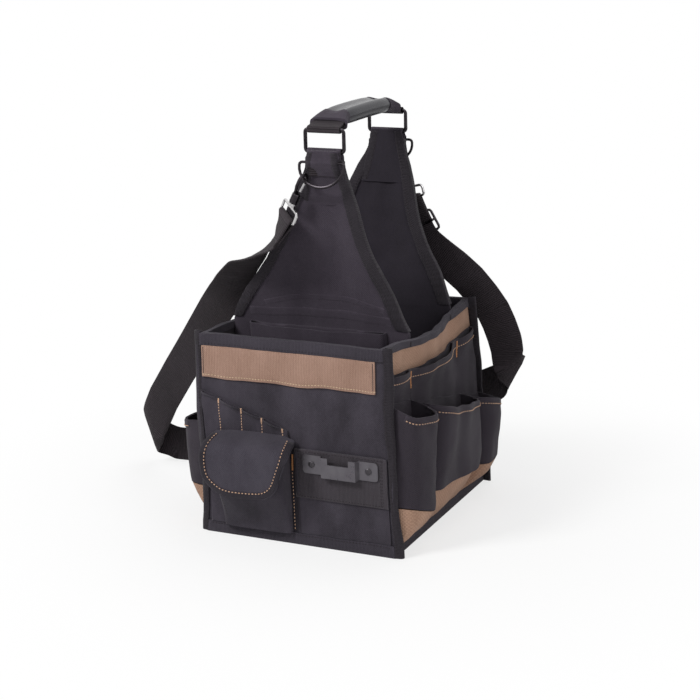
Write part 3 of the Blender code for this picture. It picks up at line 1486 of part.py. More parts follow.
def make_slide():
    """A three-bar slide: two outer bars behind the strap and the middle one before it."""
    frames = strap_frames()
    reached = distances(frames)
    want = reached[-1] - SLIDE_PLACE
    index = min(range(len(frames)), key=lambda number: abs(reached[number] - want))
    spot, across, normal, _ = frames[index]
    along = across.cross(normal).normalized()
    half = STRAP_WIDTH / 2 + EYE_SPARE + SLIDE_WIRE / 2
    lift = LAYER_LIFT + STRAP_THICKNESS / 2 + GAP * 1.5 + SLIDE_WIRE / 2
    ends = []
    for side in (-1, 1):
        for end in (-1, 1):
            ends.append(spot + across * side * half + along * end * SLIDE_LENGTH / 2
                        - normal * lift)
    frame = [ends[0], ends[1], ends[3], ends[2]]
    rounded = []
    for number, corner in enumerate(frame):
        before = (frame[number - 1] - corner).normalized() * SLIDE_WIRE
        after = (frame[(number + 1) % 4] - corner).normalized() * SLIDE_WIRE
        rounded += [corner + before, corner + (before + after) * 0.3, corner + after]
    body = add_object("strap_slide", tube(rounded, SLIDE_WIRE / 2, closed=True), dark_metal())
    bar = []
    for side, rise in ((-1, -lift), (-1, lift), (1, lift), (1, -lift)):
        bar.append(spot + across * side * half + normal * rise)
    for number in (1, 2):
        inward = (bar[3 - number] - bar[number]).normalized() * SLIDE_WIRE / 2
        bar[number] = bar[number] + inward * 0.2
    middle = add_object("slide_bar", tube(bar, SLIDE_WIRE / 2), dark_metal())
    fuse(body, middle)


def clear_scene():
    for old in list(bpy.data.objects):
        bpy.data.objects.remove(old, do_unlink=True)


def main():
    clear_scene()
    make_base()
    make_walls()
    make_rim_binding()
    make_corner_bindings()
    for place in ("front", "rear"):
        make_divider(place)
        make_divider_bindings(place)
        make_lug(place)
        make_ring(place)
        make_sleeve(place)
    for wall in ("left", "right"):
        make_side(wall)
    make_tan_strips()
    make_slot_pocket()
    make_pouch()
    make_flap()
    make_front_right()
    make_clip()
    make_inner_pocket()
    make_rear_pocket()
    make_handle_webbing()
    make_grip()
    make_closure_patch()
    for place in ("front", "rear"):
        make_d_tab(place)
        make_d_ring(place)
        make_hook(place)
        make_gate(place)
        make_swivel(place)
    make_strap()
    make_slide()


main()
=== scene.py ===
"""The looks of the open tool carrier bag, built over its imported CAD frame.

The cloth pieces are refined shells of their own: rounded hems, soft waves that run through
neighbouring layers together, woven and ribbed materials, and real thread along the seams.
"""

import json
import math
from collections import defaultdict

import bmesh
import bpy
from mathutils import Matrix, Vector, noise
from mathutils.bvhtree import BVHTree


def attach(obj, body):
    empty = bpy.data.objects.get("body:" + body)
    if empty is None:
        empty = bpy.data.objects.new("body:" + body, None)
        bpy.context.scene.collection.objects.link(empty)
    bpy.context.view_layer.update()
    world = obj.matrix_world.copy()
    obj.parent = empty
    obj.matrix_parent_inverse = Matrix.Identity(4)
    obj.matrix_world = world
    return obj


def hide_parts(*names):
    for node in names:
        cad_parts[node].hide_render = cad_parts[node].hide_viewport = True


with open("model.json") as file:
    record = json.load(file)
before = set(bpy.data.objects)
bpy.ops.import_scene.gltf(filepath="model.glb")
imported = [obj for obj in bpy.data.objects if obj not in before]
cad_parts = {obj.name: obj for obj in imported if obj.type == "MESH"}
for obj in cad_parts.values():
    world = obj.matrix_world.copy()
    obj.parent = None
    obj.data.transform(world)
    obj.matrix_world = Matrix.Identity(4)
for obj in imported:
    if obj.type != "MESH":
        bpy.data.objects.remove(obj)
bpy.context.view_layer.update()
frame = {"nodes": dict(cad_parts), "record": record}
NODES = frame["nodes"]
RECORD = frame["record"]
BODY_OF = {n: b for b, names in RECORD["behaviour"]["bodies"].items() for n in names}

# Sizes that the bag's walls follow, in metres
BASE_WIDTH, BASE_DEPTH, BOX_HEIGHT = 0.218, 0.262, 0.220
RIM_WIDTH, RIM_DEPTH = 0.208, 0.240
RIM_SHIFT = Vector((-0.0075, -0.0030, 0.0))
RIM_BOW, RIM_SAG, BOW_POWER = 0.0090, 0.0070, 2.5
TAPE_HEIGHT = 0.0125
WALLS = {"front": Vector((0, -1, 0)), "right": Vector((1, 0, 0)), "rear": Vector((0, 1, 0)),
         "left": Vector((-1, 0, 0))}
FRONT, UP = WALLS["front"], Vector((0, 0, 1))

# Dividers: the y of each one at the rim and at its top, and how wide each stands over its neck
DIVIDERS = {"front": (-0.055, -0.072), "rear": (0.067, 0.088)}
DIVIDER_TOP, NECK_HALF, LUG_X = 0.400, 0.025, 0.0135
FLARE = ((0.00, 1.00), (0.10, 0.87), (0.20, 0.77), (0.33, 0.57), (0.50, 0.34), (0.62, 0.23),
         (0.72, 0.17), (0.81, 0.09), (0.89, 0.02), (0.94, 0.00), (1.00, 0.00))

# The flap on the front wall: its middle, half width and foot, and how far it stands out
FLAP_MIDDLE, FLAP_HALF, FLAP_FOOT, FLAP_OUT = -0.046, 0.0485, 0.0555, 0.0345


def mix(low, high, share):
    return low + (high - low) * share


def smooth(value):
    """A soft step from 0 to 1 while the value goes from 0 to 1."""
    value = min(max(value, 0.0), 1.0)
    return value * value * (3.0 - 2.0 * value)


def read_off(table, place):
    """A table's value at a place: straight between its rows, level beyond its ends."""
    place = min(max(place, table[0][0]), table[-1][0])
    low, high = next(pair for pair in zip(table, table[1:]) if place <= pair[1][0])
    return mix(low[1], high[1], (place - low[0]) / (high[0] - low[0]))


def around(values, index, reach):
    """The values up to a reach before and after an index."""
    return values[max(index - reach, 0):index + reach + 1]


def half_width(z):
    return mix(BASE_WIDTH, RIM_WIDTH, z / BOX_HEIGHT) / 2


def half_depth(z):
    return mix(BASE_DEPTH, RIM_DEPTH, z / BOX_HEIGHT) / 2


def on_wall(wall, along, z, out):
    """A point on a wall: along it from its middle, at a height, and out from its face."""
    drop = 0.0
    if wall in ("front", "rear"):
        reach = half_depth(z) + out
    else:
        share = min(abs(along) / half_depth(z), 1.0)
        soft = (1.0 - share * share) ** 2 * max(z / BOX_HEIGHT, 0.0) ** BOW_POWER
        reach = half_width(z) + out + RIM_BOW * soft
        drop = RIM_SAG * soft
    flat = Vector((along, -reach, 0.0))
    flat.rotate(Matrix.Rotation(list(WALLS).index(wall) * math.pi / 2, 3, "Z"))
    return flat + RIM_SHIFT * z / BOX_HEIGHT + Vector((0.0, 0.0, z - drop))


def side_spot(wall, along, z, out):
    """A place on a side wall, measured at the floor and drawn in as the wall narrows."""
    seam = 0.006
    return on_wall(wall, along * (half_depth(z) - seam) / (half_depth(0) - seam), z, out)


def divider_share(z):
    """How far a height is up the dividers: 0 at the rim, 1 at their top."""
    return (z - BOX_HEIGHT) / (DIVIDER_TOP - BOX_HEIGHT)


def divider_y(place, z):
    """The y of a divider's middle plane at a height."""
    return mix(*DIVIDERS[place], divider_share(z))


def divider_spot(place, side, z, inset):
    """A place on a divider's middle plane, inset from its left (-1) or right (1) edge."""
    share = divider_share(z)
    half = mix(NECK_HALF, half_width(BOX_HEIGHT), read_off(FLARE, share)) - inset
    return Vector((mix(RIM_SHIFT.x, LUG_X, share) + side * half, divider_y(place, z), z))


# One slow field of soft waves moves all cloth layers together, so that none meets another. Its
# seed is fixed, so that each run draws the same field
WAVE_SEED = 1795881148
noise.seed_set(WAVE_SEED)

# The field's three parts: stretch in z, scale, shift and depth
WAVES = ((0.80, 17.0, (3.1, 7.7, 1.3), 0.0048), (0.34, 36.0, (0.7, 4.1, 2.6), 0.0046),
         (1.00, 58.0, (9.2, 0.4, 5.5), 0.0010))

# Where the cloth is held: up to one height at the floor, and from another up to the handle.
# The front wall's cloth has its y below FRONT_CLOTH, and what is inside the walls waves less
FLOOR_HOLD, HANDLE_HOLD, HANDLE_EASE, FRONT_CLOTH = 0.03, 0.33, 0.05, -0.11
INSIDE_X, INSIDE_Y, EASE = 0.085, 0.095, 0.02

# Boxes on the front wall, each its middle (x, z) and its half size
CLIP_BOX = ((0.049, 0.080), (0.046, 0.028))
POUCH_BOX = ((FLAP_MIDDLE, 0.060), (0.052, 0.062))

# Pulls in the front wall under the tan strip: both ends (x, z), half width and depth
PULLS = ((0.006, 0.176, -0.018, 0.112, 0.0075, -0.0019),
         (0.030, 0.172, 0.050, 0.118, 0.0105, 0.0017),
         (-0.050, 0.176, -0.018, 0.132, 0.0080, -0.0010),
         (0.092, 0.170, 0.074, 0.120, 0.0080, -0.0014))
PULL_END = 0.012


def outside(p, box):
    """How far a place lies outside a box on the front wall."""
    (x, z), (wide, high) = box
    return max(abs(p.x - x) - wide, abs(p.z - z) - high, 0.0)


def hold(p):
    """How freely the cloth waves at a place: not at the floor, the clip or the handle."""
    free = smooth(p.z / FLOOR_HOLD) * (1.0 - smooth((p.z - HANDLE_HOLD) / HANDLE_EASE))
    if p.y < FRONT_CLOTH:
        free *= smooth(outside(p, CLIP_BOX) / EASE)
        free *= mix(0.45, 1.0, smooth(outside(p, POUCH_BOX) / EASE))
    if abs(p.y) > INSIDE_Y:
        at_rim = smooth((p.z - 0.160) / 0.03)
        free *= mix(1.0, 0.5, at_rim * smooth((abs(p.y) - INSIDE_Y) / EASE))
    return free


def pulled(x, z):
    """How far the front wall's cloth is drawn along y by the pulls."""
    whole = 0.0
    for x1, z1, x2, z2, wide, deep in PULLS:
        length = math.hypot(x2 - x1, z2 - z1)
        along = ((x - x1) * (x2 - x1) + (z - z1) * (z2 - z1)) / length
        across = ((x - x1) * (z2 - z1) - (z - z1) * (x2 - x1)) / length
        past = max(-along, along - length, 0.0)
        whole += deep * smooth(1.0 - past / PULL_END) * math.exp(-(across / wide) ** 2)
    return whole


def wave(p):
    """How far the soft waves move the cloth at a place."""
    free = hold(p)
    if free <= 0.0:
        return Vector()
    whole = Vector()
    for stretch, scale, shift, depth in WAVES:
        where = Vector((p.x, p.y, p.z * stretch)) * scale + Vector(shift)
        whole += noise.noise_vector(where) * depth
    whole *= free
    if p.y < FRONT_CLOTH:
        whole.y += pulled(p.x, p.z) * free
    return Vector((whole.x * mix(0.3, 1.0, smooth((abs(p.x) - INSIDE_X) / EASE)),
                   whole.y * mix(0.3, 1.0, smooth((abs(p.y) - INSIDE_Y) / EASE)), whole.z * 0.35))


# Materials

def linear(rgb):
    """A screen colour, each part 0 to 255, as linear light."""
    return tuple((c / 255 / 12.92) if c / 255 <= 0.04045 else ((c / 255 + 0.055) / 1.055) ** 2.4
                 for c in rgb)


class Nodes:
    """A node tree in the making. An input takes a value or another node's output."""

    def __init__(self, tree):
        self.tree = tree

    def fill(self, socket, value):
        if isinstance(value, bpy.types.NodeSocket):
            self.tree.links.new(value, socket)
        elif value is not None:
            socket.default_value = value

    def node(self, kind, inputs=None, **settings):
        made = self.tree.nodes.new(kind)
        for key, value in settings.items():
            setattr(made, key, value)
        for key, value in (inputs or {}).items():
            self.fill(made.inputs[key], value)
        return made

    def math(self, op, a, b=None):
        return self.node("ShaderNodeMath", {0: a, 1: b}, operation=op).outputs[0]

    def add(self, a, b):
        return self.math("ADD", a, b)

    def times(self, a, b):
        return self.math("MULTIPLY", a, b)

    def noise(self, where, scale, detail=3.0, rough=0.55):
        return self.node("ShaderNodeTexNoise", {"Scale": scale, "Detail": detail,
                                                "Roughness": rough, "Vector": where}).outputs["Fac"]

    def colour_mix(self, share, a, b):
        a, b = ((*value, 1.0) if isinstance(value, tuple) else value for value in (a, b))
        return self.node("ShaderNodeMix", {0: share, 6: a, 7: b}, data_type="RGBA").outputs[2]

    def shader_mix(self, share, a, b):
        return self.node("ShaderNodeMixShader", {0: share, 1: a, 2: b}).outputs[0]

    def ramp(self, value, low, high):
        return self.node("ShaderNodeMapRange", {"From Min": low, "From Max": high,
                                                "Value": value}).outputs["Result"]

    def bump(self, height, distance, strength=1.0, under=None):
        return self.node("ShaderNodeBump", {"Distance": distance, "Strength": strength,
                                            "Height": height, "Normal": under}).outputs["Normal"]


class Paint(Nodes):
    """A material in the making."""

    def __init__(self, name, rough, metallic=0.0, sheen=0.0):
        self.made = bpy.data.materials.new(name)
        self.made.use_nodes = True
        super().__init__(self.made.node_tree)
        self.shader = self.tree.nodes["Principled BSDF"]
        self.shade({"Roughness": rough, "Metallic": metallic, "Sheen Weight": sheen,
                    "Sheen Roughness": 0.5})

    def shade(self, inputs):
        for key, value in inputs.items():
            self.fill(self.shader.inputs[key], value)

    def solid(self):
        return self.node("ShaderNodeTexCoord").outputs["Object"]


# Noise in the cloth, in waves per metre, and how blotches are drawn out upright, as random tone and
# as painted shade of upright folds
WANDER, GRAIN, BLOTCH, BLOTCH_STRETCH = 210.0, 900.0, 26.0, (1.0, 1.0, 0.55)

# Painted light by pointiness: darker folds are painted shade, paler crests are partly rubbed wear
# and partly painted highlight
# Crests and folds by pointiness, from where they start to where they are full, and how much
CREST_WEAR_AND_HIGHLIGHT, FOLD_SHADE = (0.53, 0.60, 0.25), (0.485, 0.43, 0.75)


def woven(name, dark, light, pitch=0.0011, rib=None, rib_pitch=0.0, depth=0.00022, rough=0.88,
          sheen=0.06, rib_shade=0.16, mottle_and_fold_shade=0.75):
    """Cloth: threads and ribs from its flat coordinates; mottling that also paints fold shade;
    crests paled by wear and painted highlight; painted shade in folds and rib grooves.
    """
    dark, light = linear(dark), linear(light)
    paint = Paint(name, rough, sheen=sheen)
    solid = paint.solid()
    wander = paint.noise(solid, WANDER, 2.0)
    flat = paint.node("ShaderNodeUVMap", uv_map="Cloth").outputs["UV"]
    axes = paint.node("ShaderNodeSeparateXYZ", {0: flat}).outputs
    u, v = (paint.math("SINE", paint.add(paint.times(axes[axis], math.pi / pitch),
                                         paint.times(wander, 1.6))) for axis in (0, 1))
    threads = paint.times(u, v)
    grain = paint.noise(solid, GRAIN, 3.0, 0.7)
    drawn = paint.node("ShaderNodeMapping", {"Scale": BLOTCH_STRETCH, "Vector": solid}).outputs[0]
    # Upright blotches: random tone, and on the front cloth painted shade of its soft folds
    blotch_and_fold_shade = paint.add(paint.noise(drawn, BLOTCH, 4.0, 0.6), -0.5)
    tone = paint.add(paint.times(threads, 0.16),
                     paint.add(paint.times(grain, 0.75), paint.times(blotch_and_fold_shade, mottle_and_fold_shade)))
    height = paint.add(paint.times(paint.math("ABSOLUTE", threads), 0.6), paint.times(grain, 0.7))
    normal = paint.bump(height, depth, 0.8)
    if rib is not None:
        turned = paint.times(axes[rib], math.tau / rib_pitch)
        ridge = paint.math("SINE", paint.add(turned, paint.times(wander, 0.7)))
        # The ribs' tone is painted light: lighter on their crests and darker in their grooves,
        # painted shade
        tone = paint.add(tone, paint.times(ridge, rib_shade))
        normal = paint.bump(ridge, rib_pitch * 0.12, 0.8, normal)
    colour = paint.colour_mix(paint.ramp(tone, 0.075, 0.775), dark, light)
    # Pointiness paints light: folds darkened as painted shade, crests paled as rubbed wear and
    # painted highlight
    edge = paint.node("ShaderNodeNewGeometry").outputs["Pointiness"]
    pale = tuple(min(1.0, c * 1.9 + 0.01) for c in light)
    deep = tuple(c * 0.25 for c in dark)
    for (low, high, most), tint in ((CREST_WEAR_AND_HIGHLIGHT, pale), (FOLD_SHADE, deep)):
        colour = paint.colour_mix(paint.times(paint.ramp(edge, low, high), most), colour, tint)
    paint.shade({"Specular IOR Level": 0.25, "Base Color": colour, "Normal": normal})
    return paint.made


def metal(name, dark, light, rough, metallic=1.0):
    """Metal that is smeared with use and finely scratched."""
    paint = Paint(name, rough, metallic=metallic)
    smear = paint.noise(paint.solid(), 90.0, 4.0)
    fine = paint.noise(paint.solid(), 1400.0, 2.0)
    spread = paint.add(paint.times(fine, 0.08), rough - 0.14)
    paint.shade({
        "Base Color": paint.colour_mix(paint.ramp(smear, 0.3, 0.7), linear(dark), linear(light)),
        "Roughness": paint.add(paint.times(smear, 0.22), spread),
        "Normal": paint.bump(paint.add(smear, paint.times(fine, 0.3)), 0.00008)})
    return paint.made


def vinyl(name, dark, light):
    """Smooth grip vinyl with a cool sheen and fine pores."""
    paint = Paint(name, 0.32, sheen=0.05)
    smear = paint.noise(paint.solid(), 60.0, 3.0)
    pores = paint.noise(paint.solid(), 1100.0, 2.0)
    paint.shade({
        "Specular IOR Level": 0.30, "Specular Tint": (0.88, 0.88, 1.0, 1.0),
        "Base Color": paint.colour_mix(paint.ramp(smear, 0.3, 0.7), linear(dark), linear(light)),
        "Roughness": paint.add(paint.times(smear, 0.14), 0.17),
        "Normal": paint.bump(pores, 0.00012, 0.5)})
    return paint.made


LOOKS = {
    # The front cloth's strong upright blotches are painted shade of soft folds, over its mottling
    "front": woven("front_cloth", (40, 36, 43), (69, 64, 73), mottle_and_fold_shade=1.5),
    "flap": woven("flap_cloth", (47, 43, 52), (73, 69, 78), mottle_and_fold_shade=1.0),
    "pocket": woven("pocket_cloth", (37, 32, 39), (60, 54, 62)),
    "divider": woven("divider_cloth", (46, 40, 49), (74, 67, 77)),
    # A darker copy of the divider cloth for the rear divider and its neck covers: painted shade
    "divider_shaded": woven("divider_cloth_shaded", (28, 24, 31), (47, 42, 51)),
    # A darker copy of the cloth for faces inside the bag and its floor board: painted shade
    "inner_shade": woven("inner_shade_cloth", (34, 29, 34), (56, 50, 56)),
    "rim": woven("rim_tape", (40, 36, 44), (68, 63, 72), rib=0, rib_pitch=0.0016, rough=0.8),
    "edge": woven("edge_tape", (29, 25, 30), (50, 45, 52), rib=1, rib_pitch=0.0016, rough=0.8),
    "band": woven("band_tape", (28, 24, 30), (49, 44, 52), rib=0, rib_pitch=0.0015, rough=0.8),
    "web": woven("webbing", (42, 37, 42), (68, 62, 69), pitch=0.0008, rib=0, rib_pitch=0.0015,
                 rough=0.76, sheen=0.15),
    "strap": woven("strap_webbing", (24, 19, 22), (56, 49, 54), pitch=0.0009, rib=1,
                   rib_pitch=0.0021, rough=0.8, sheen=0.02, rib_shade=0.28),
    "tan": woven("tan_ribbed", (135, 105, 89), (179, 146, 130), rib=0, rib_pitch=0.0018,
                 rib_shade=0.12),
    "sand": woven("tan_cloth_fine", (142, 110, 92), (190, 155, 133), pitch=0.0019, depth=0.0005),
    "thread_pale": woven("thread_pale", (170, 132, 104), (220, 186, 156), pitch=0.0006),
    "thread_salmon": woven("thread_salmon", (160, 116, 92), (208, 166, 140), pitch=0.0006),
    "thread_orange": woven("thread_orange", (150, 98, 62), (196, 138, 92), pitch=0.0006),
    "thread_dark": woven("thread_dark", (26, 21, 25), (48, 42, 47), pitch=0.0006),
    "vinyl": vinyl("grip_vinyl", (16, 14, 20), (26, 24, 32)),
    "dark_metal": metal("dark_metal", (38, 35, 38), (64, 60, 64), 0.32),
    "rivet_metal": metal("rivet_metal", (56, 53, 57), (78, 75, 79), 0.30, metallic=0.8),
    "plate_metal": metal("plate_metal", (84, 80, 86), (97, 94, 99), 0.30, metallic=0.55),
    "bright_metal": metal("bright_metal", (176, 174, 176), (214, 212, 212), 0.24),
}


# Making pieces

def flat_coordinates(mesh, turn=None, laid=None):
    """Lay the cloth's threads: flat coordinates in metres, laid for each vertex, turned from
    its place, or else from the way each face looks."""
    layer = mesh.uv_layers.new(name="Cloth")
    for face in mesh.polygons:
        n = face.normal
        pick = max(range(3), key=lambda axis: abs(n[axis]))
        for loop in face.loop_indices:
            vertex = mesh.loops[loop].vertex_index
            co = mesh.vertices[vertex].co
            if laid is not None:
                layer.data[loop].uv = laid[vertex]
            elif turn is not None:
                layer.data[loop].uv = turn(co)
            else:
                layer.data[loop].uv = ((co.y, co.z), (co.x, co.z), (co.x, co.y))[pick]


def put(name, bm, look, body, sharp=42.0, turn=None, laid=None, inner=None):
    mesh = bpy.data.meshes.new(name)
    bm.to_mesh(mesh)
    mesh.materials.append(LOOKS[look])
    # Faces that look the inner way take the darker cloth, painted shade
    if inner is not None:
        mesh.materials.append(LOOKS["inner_shade"])
        for face in mesh.polygons:
            face.material_index = 1 if face.normal.dot(inner) > 0.5 else 0
    mesh.shade_smooth()
    mesh.set_sharp_from_angle(angle=math.radians(sharp))
    flat_coordinates(mesh, turn, laid)
    made = bpy.data.objects.new(name, mesh)
    bpy.context.scene.collection.objects.link(made)
    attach(made, body)
    return made


SURFACE = {}


def solid_of(node, planar):
    """A CAD node's solid as a clean bmesh, its triangles joined back into larger faces."""
    bm = bmesh.new()
    bm.from_mesh(NODES[node].data)
    bmesh.ops.remove_doubles(bm, verts=bm.verts, dist=2e-5)
    if planar:
        bmesh.ops.dissolve_limit(bm, angle_limit=math.radians(0.6), verts=bm.verts,
                                 edges=bm.edges)
    else:
        bmesh.ops.join_triangles(bm, faces=bm.faces, angle_face_threshold=math.radians(16),
                                 angle_shape_threshold=math.radians(70))
    for layer in list(bm.loops.layers.uv):
        bm.loops.layers.uv.remove(layer)
    return bm


def round_edges(bm, width, sharp=math.radians(50)):
    edges = [e for e in bm.edges if e.is_manifold and e.calc_face_angle(0.0) > sharp]
    if edges and width > 0.0:
        bmesh.ops.bevel(bm, geom=edges, offset=width, offset_type="OFFSET", segments=2,
                        profile=0.5, affect="EDGES", clamp_overlap=True)


def subdivided(bm, levels):
    """The bmesh after Catmull-Clark subdivision."""
    mesh = bpy.data.meshes.new("refining")
    bm.to_mesh(mesh)
    bm.free()
    temp = bpy.data.objects.new("refining", mesh)
    bpy.context.scene.collection.objects.link(temp)
    step = temp.modifiers.new("fine", "SUBSURF")
    step.levels = levels
    step.render_levels = levels
    fine = temp.evaluated_get(bpy.context.evaluated_depsgraph_get())
    out = bmesh.new()
    out.from_mesh(fine.to_mesh())
    fine.to_mesh_clear()
    bpy.data.objects.remove(temp)
    bpy.data.meshes.remove(mesh)
    return out


def grid(bm, cell):
    """Cut long faces along planes a cell apart, so that they can wave."""
    for axis in range(3):
        low = min(v.co[axis] for v in bm.verts)
        high = max(v.co[axis] for v in bm.verts)
        count = int((high - low) / cell)
        for step in range(1, count + 1):
            spot, way = Vector(), Vector()
            spot[axis] = low + (high - low) * step / (count + 1)
            way[axis] = 1.0
            bmesh.ops.bisect_plane(bm, geom=bm.verts[:] + bm.edges[:] + bm.faces[:],
                                   plane_co=spot, plane_no=way, dist=1e-6)


def refine(node, look, levels=0, cell=0.010, edge=0.0004, amount=1.0, turn=None, extra=None,
           inner=None):
    """Stand for a soft CAD node with a finer shell: rounded edges, soft waves, cloth. Faces
    that look the inner way get a darker cloth, painted shade of the bag's inside."""
    bm = solid_of(node, levels == 0)
    round_edges(bm, edge)
    if levels:
        bm = subdivided(bm, levels)
    if cell:
        grid(bm, cell)
    for v in bm.verts:
        v.co += wave(v.co) * amount
        if extra is not None:
            v.co += extra(v.co)
    SURFACE[node] = BVHTree.FromBMesh(bm)
    made = put(node + "_soft", bm, look, BODY_OF[node], turn=turn, inner=inner)
    bm.free()
    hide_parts(node)


def along_divider(co):
    """Flat coordinates on a divider's edge tape: beside the divider's middle, and along it."""
    beside = co.x - mix(RIM_SHIFT.x, LUG_X, divider_share(co.z))
    return beside, math.hypot(beside, co.z - BOX_HEIGHT)


def creases(co):
    """The dividers are limp sheets: shallow pulls run down and out from the webbing lug."""
    share = divider_share(co.z)
    if share <= 0.0:
        return Vector()
    free = smooth(share / 0.25) * smooth((0.97 - share) / 0.2)
    fan = math.atan2(co.x - LUG_X, DIVIDER_TOP + 0.02 - co.z)
    pull = math.sin(fan * 17.0 + 0.6) * 0.0007 + math.sin(fan * 7.0 + 2.0) * 0.0011
    ripple = noise.noise(Vector((co.x * 30, 2.0, co.z * 55))) * 0.0010
    return Vector((0.0, (pull + ripple) * free, 0.0))


def divider_shape(co):
    """A divider is creased, and its neck narrows to the webbing's width under the ring."""
    narrow = (co.x - LUG_X) * -0.20 * smooth((co.z - 0.370) / 0.026)
    return creases(co) + Vector((narrow, 0.0, 0.0))


def corner_fin(co):
    """Draw a corner tape in along its diagonal, and turn its straight edge a little."""
    half = Vector((half_width(co.z), half_depth(co.z), 0.0))
    shift = RIM_SHIFT * co.z / BOX_HEIGHT
    side = Vector((math.copysign(1.0, co.x - shift.x), math.copysign(1.0, co.y - shift.y), 0))
    corner = Vector((side.x * half.x, side.y * half.y, 0.0)) + shift
    way = side.normalized()
    reach, kept = (co - corner).xy.dot(way.xy), 0.0015
    if reach < kept:
        return Vector()
    sway = noise.noise(Vector((side.x * 3.0, side.y * 5.0, co.z * 24.0))) * 0.0016
    across = Vector((-way.y, way.x, 0.0))
    return way * (reach - kept) * -0.34 + across * sway * smooth(reach / 0.008)


def side_rim(co):
    """The rim's tape is folded narrower along the two side walls."""
    outer, end, kept = -0.004, 0.985, 0.002
    beside = abs(co.x - RIM_SHIFT.x) - half_width(BOX_HEIGHT)
    along = abs(co.y - RIM_SHIFT.y) / half_depth(BOX_HEIGHT)
    if along > end or beside < outer:
        return Vector()
    soft = (1.0 - min(along, 1.0) ** 2) ** 2
    below = BOX_HEIGHT - RIM_SAG * soft - co.z
    if below < kept:
        return Vector()
    return Vector((0.0, 0.0, (below - kept) * 0.46 * smooth((end - along) / 0.06)))


# The flap's right edge leans, and its left edge is drawn in, each by (height, x)
FLAP_LEAN = ((0.050, 0.000), (0.058, -0.002), (0.063, -0.005), (0.070, -0.005),
             (0.084, -0.003), (0.092, 0.000), (0.100, 0.003), (0.108, 0.005), (0.120, 0.004))
FLAP_FULL = ((0.056, 0.0), (0.064, -0.0016), (0.076, -0.0032), (0.090, -0.0030),
             (0.102, -0.0018), (0.120, -0.0010))


def flap_shape(co):
    """The flap's top corners hang lower than its hinge seam, and its right edge slants."""
    beside, fade = co.x - FLAP_MIDDLE, 0.045
    lean = read_off(FLAP_LEAN, co.z) * smooth(beside / fade)
    full = read_off(FLAP_FULL, co.z) * smooth(-beside / fade)
    drop = mix(0.0024, 0.0058, smooth((beside + 0.020) / 0.040))
    free = smooth((co.z - 0.098) / 0.012)
    return Vector((lean + full, 0.0, -drop * smooth((abs(beside) - 0.026) / 0.022) * free))


def pouch_shape(co):
    """The pouch is drawn back to the wall towards its foot, so it hangs as a wedge."""
    thick, drawn, top, fade = 0.003, 0.64, 0.066, 0.052
    beyond = RIM_SHIFT.y * co.z / BOX_HEIGHT - co.y - half_depth(co.z)
    return Vector((0.0, max(beyond - thick, 0.0) * drawn * smooth((top - co.z) / fade), 0.0))


# The shoulder strap: its route's points give the way its ribs run
SPAN = (0.230, 0.264, 0.400)
ROUTE = [Vector((x * SPAN[0], y * SPAN[1], z * SPAN[2])) for x, y, z in (
    (-0.1161, -0.3261, 0.8510), (-0.1609, -0.3409, 0.8025), (-0.2674, -0.3182, 0.7550),
    (-0.3587, -0.2727, 0.7225), (-0.4478, -0.2159, 0.6775), (-0.5261, -0.1591, 0.6275),
    (-0.6478, -0.0947, 0.5525), (-0.8522, 0.0076, 0.4150), (-0.9913, 0.0682, 0.3200),
    (-1.1261, 0.1174, 0.2200), (-1.2348, 0.1515, 0.1150), (-1.2652, 0.1894, 0.0925),
    (-1.2304, 0.2273, 0.0750), (-1.1391, 0.2348, 0.0537), (-1.0087, 0.2500, 0.0537),
    (-0.8696, 0.3182, 0.0537), (-0.7478, 0.4545, 0.0537), (-0.5870, 0.5909, 0.0575),
    (-0.3478, 0.6477, 0.0775), (-0.0435, 0.6553, 0.1275), (0.2609, 0.6364, 0.2050),
    (0.4870, 0.6061, 0.2700), (0.6050, 0.5795, 0.3120), (0.6300, 0.5455, 0.3300),
    (0.6100, 0.5114, 0.3500), (0.6043, 0.5000, 0.3925), (0.5870, 0.4962, 0.4300),
    (0.5609, 0.4924, 0.4725), (0.5304, 0.4848, 0.5125), (0.4826, 0.4773, 0.5525),
    (0.4174, 0.4621, 0.6000), (0.3478, 0.4470, 0.6375), (0.2652, 0.4318, 0.6750),
    (0.1913, 0.4205, 0.7150), (0.1522, 0.4129, 0.7625), (0.1087, 0.4053, 0.8200))]
REACHED = [0.0]
for low, high in zip(ROUTE, ROUTE[1:]):
    REACHED.append(REACHED[-1] + (high - low).length)


def on_route(co):
    """The way from the strap's route out to a place, and the distance walked along the route."""
    best = None
    for index, (low, high) in enumerate(zip(ROUTE, ROUTE[1:])):
        way = high - low
        share = min(max((co - low).dot(way) / way.length_squared, 0.0), 1.0)
        away = co - (low + way * share)
        if best is None or away.length < best[0].length:
            best = (away, mix(REACHED[index], REACHED[index + 1], share))
    return best


def along_strap(co):
    """Flat coordinates on the strap: beside its middle line, and along it."""
    away, walked = on_route(co)
    return away.length, walked


def tip_in(co):
    """Where the strap folds over, its corner is drawn in to the webbing's own width."""
    half, fold_x, fold_y = 0.0205, 0.150, 0.10
    away, _ = on_route(co)
    over = away.length - half
    drawn = away.normalized() * -over * 0.92 if over > 0.0 else Vector()
    if co.x > fold_x and co.y > fold_y:
        near = smooth((co.z - 0.095) / 0.025) * smooth((0.185 - co.z) / 0.045)
        drawn.x -= (co.x - fold_x) * 0.45 * near
    return drawn


def slanted(co):
    """Flat coordinates on webbing that is folded over a ring."""
    return co.x, co.z + co.y * 0.5


# Soft pieces. A grid's cell of 0 leaves a piece as its subdivision gives it
PARTS = ("front", "middle", "rear")
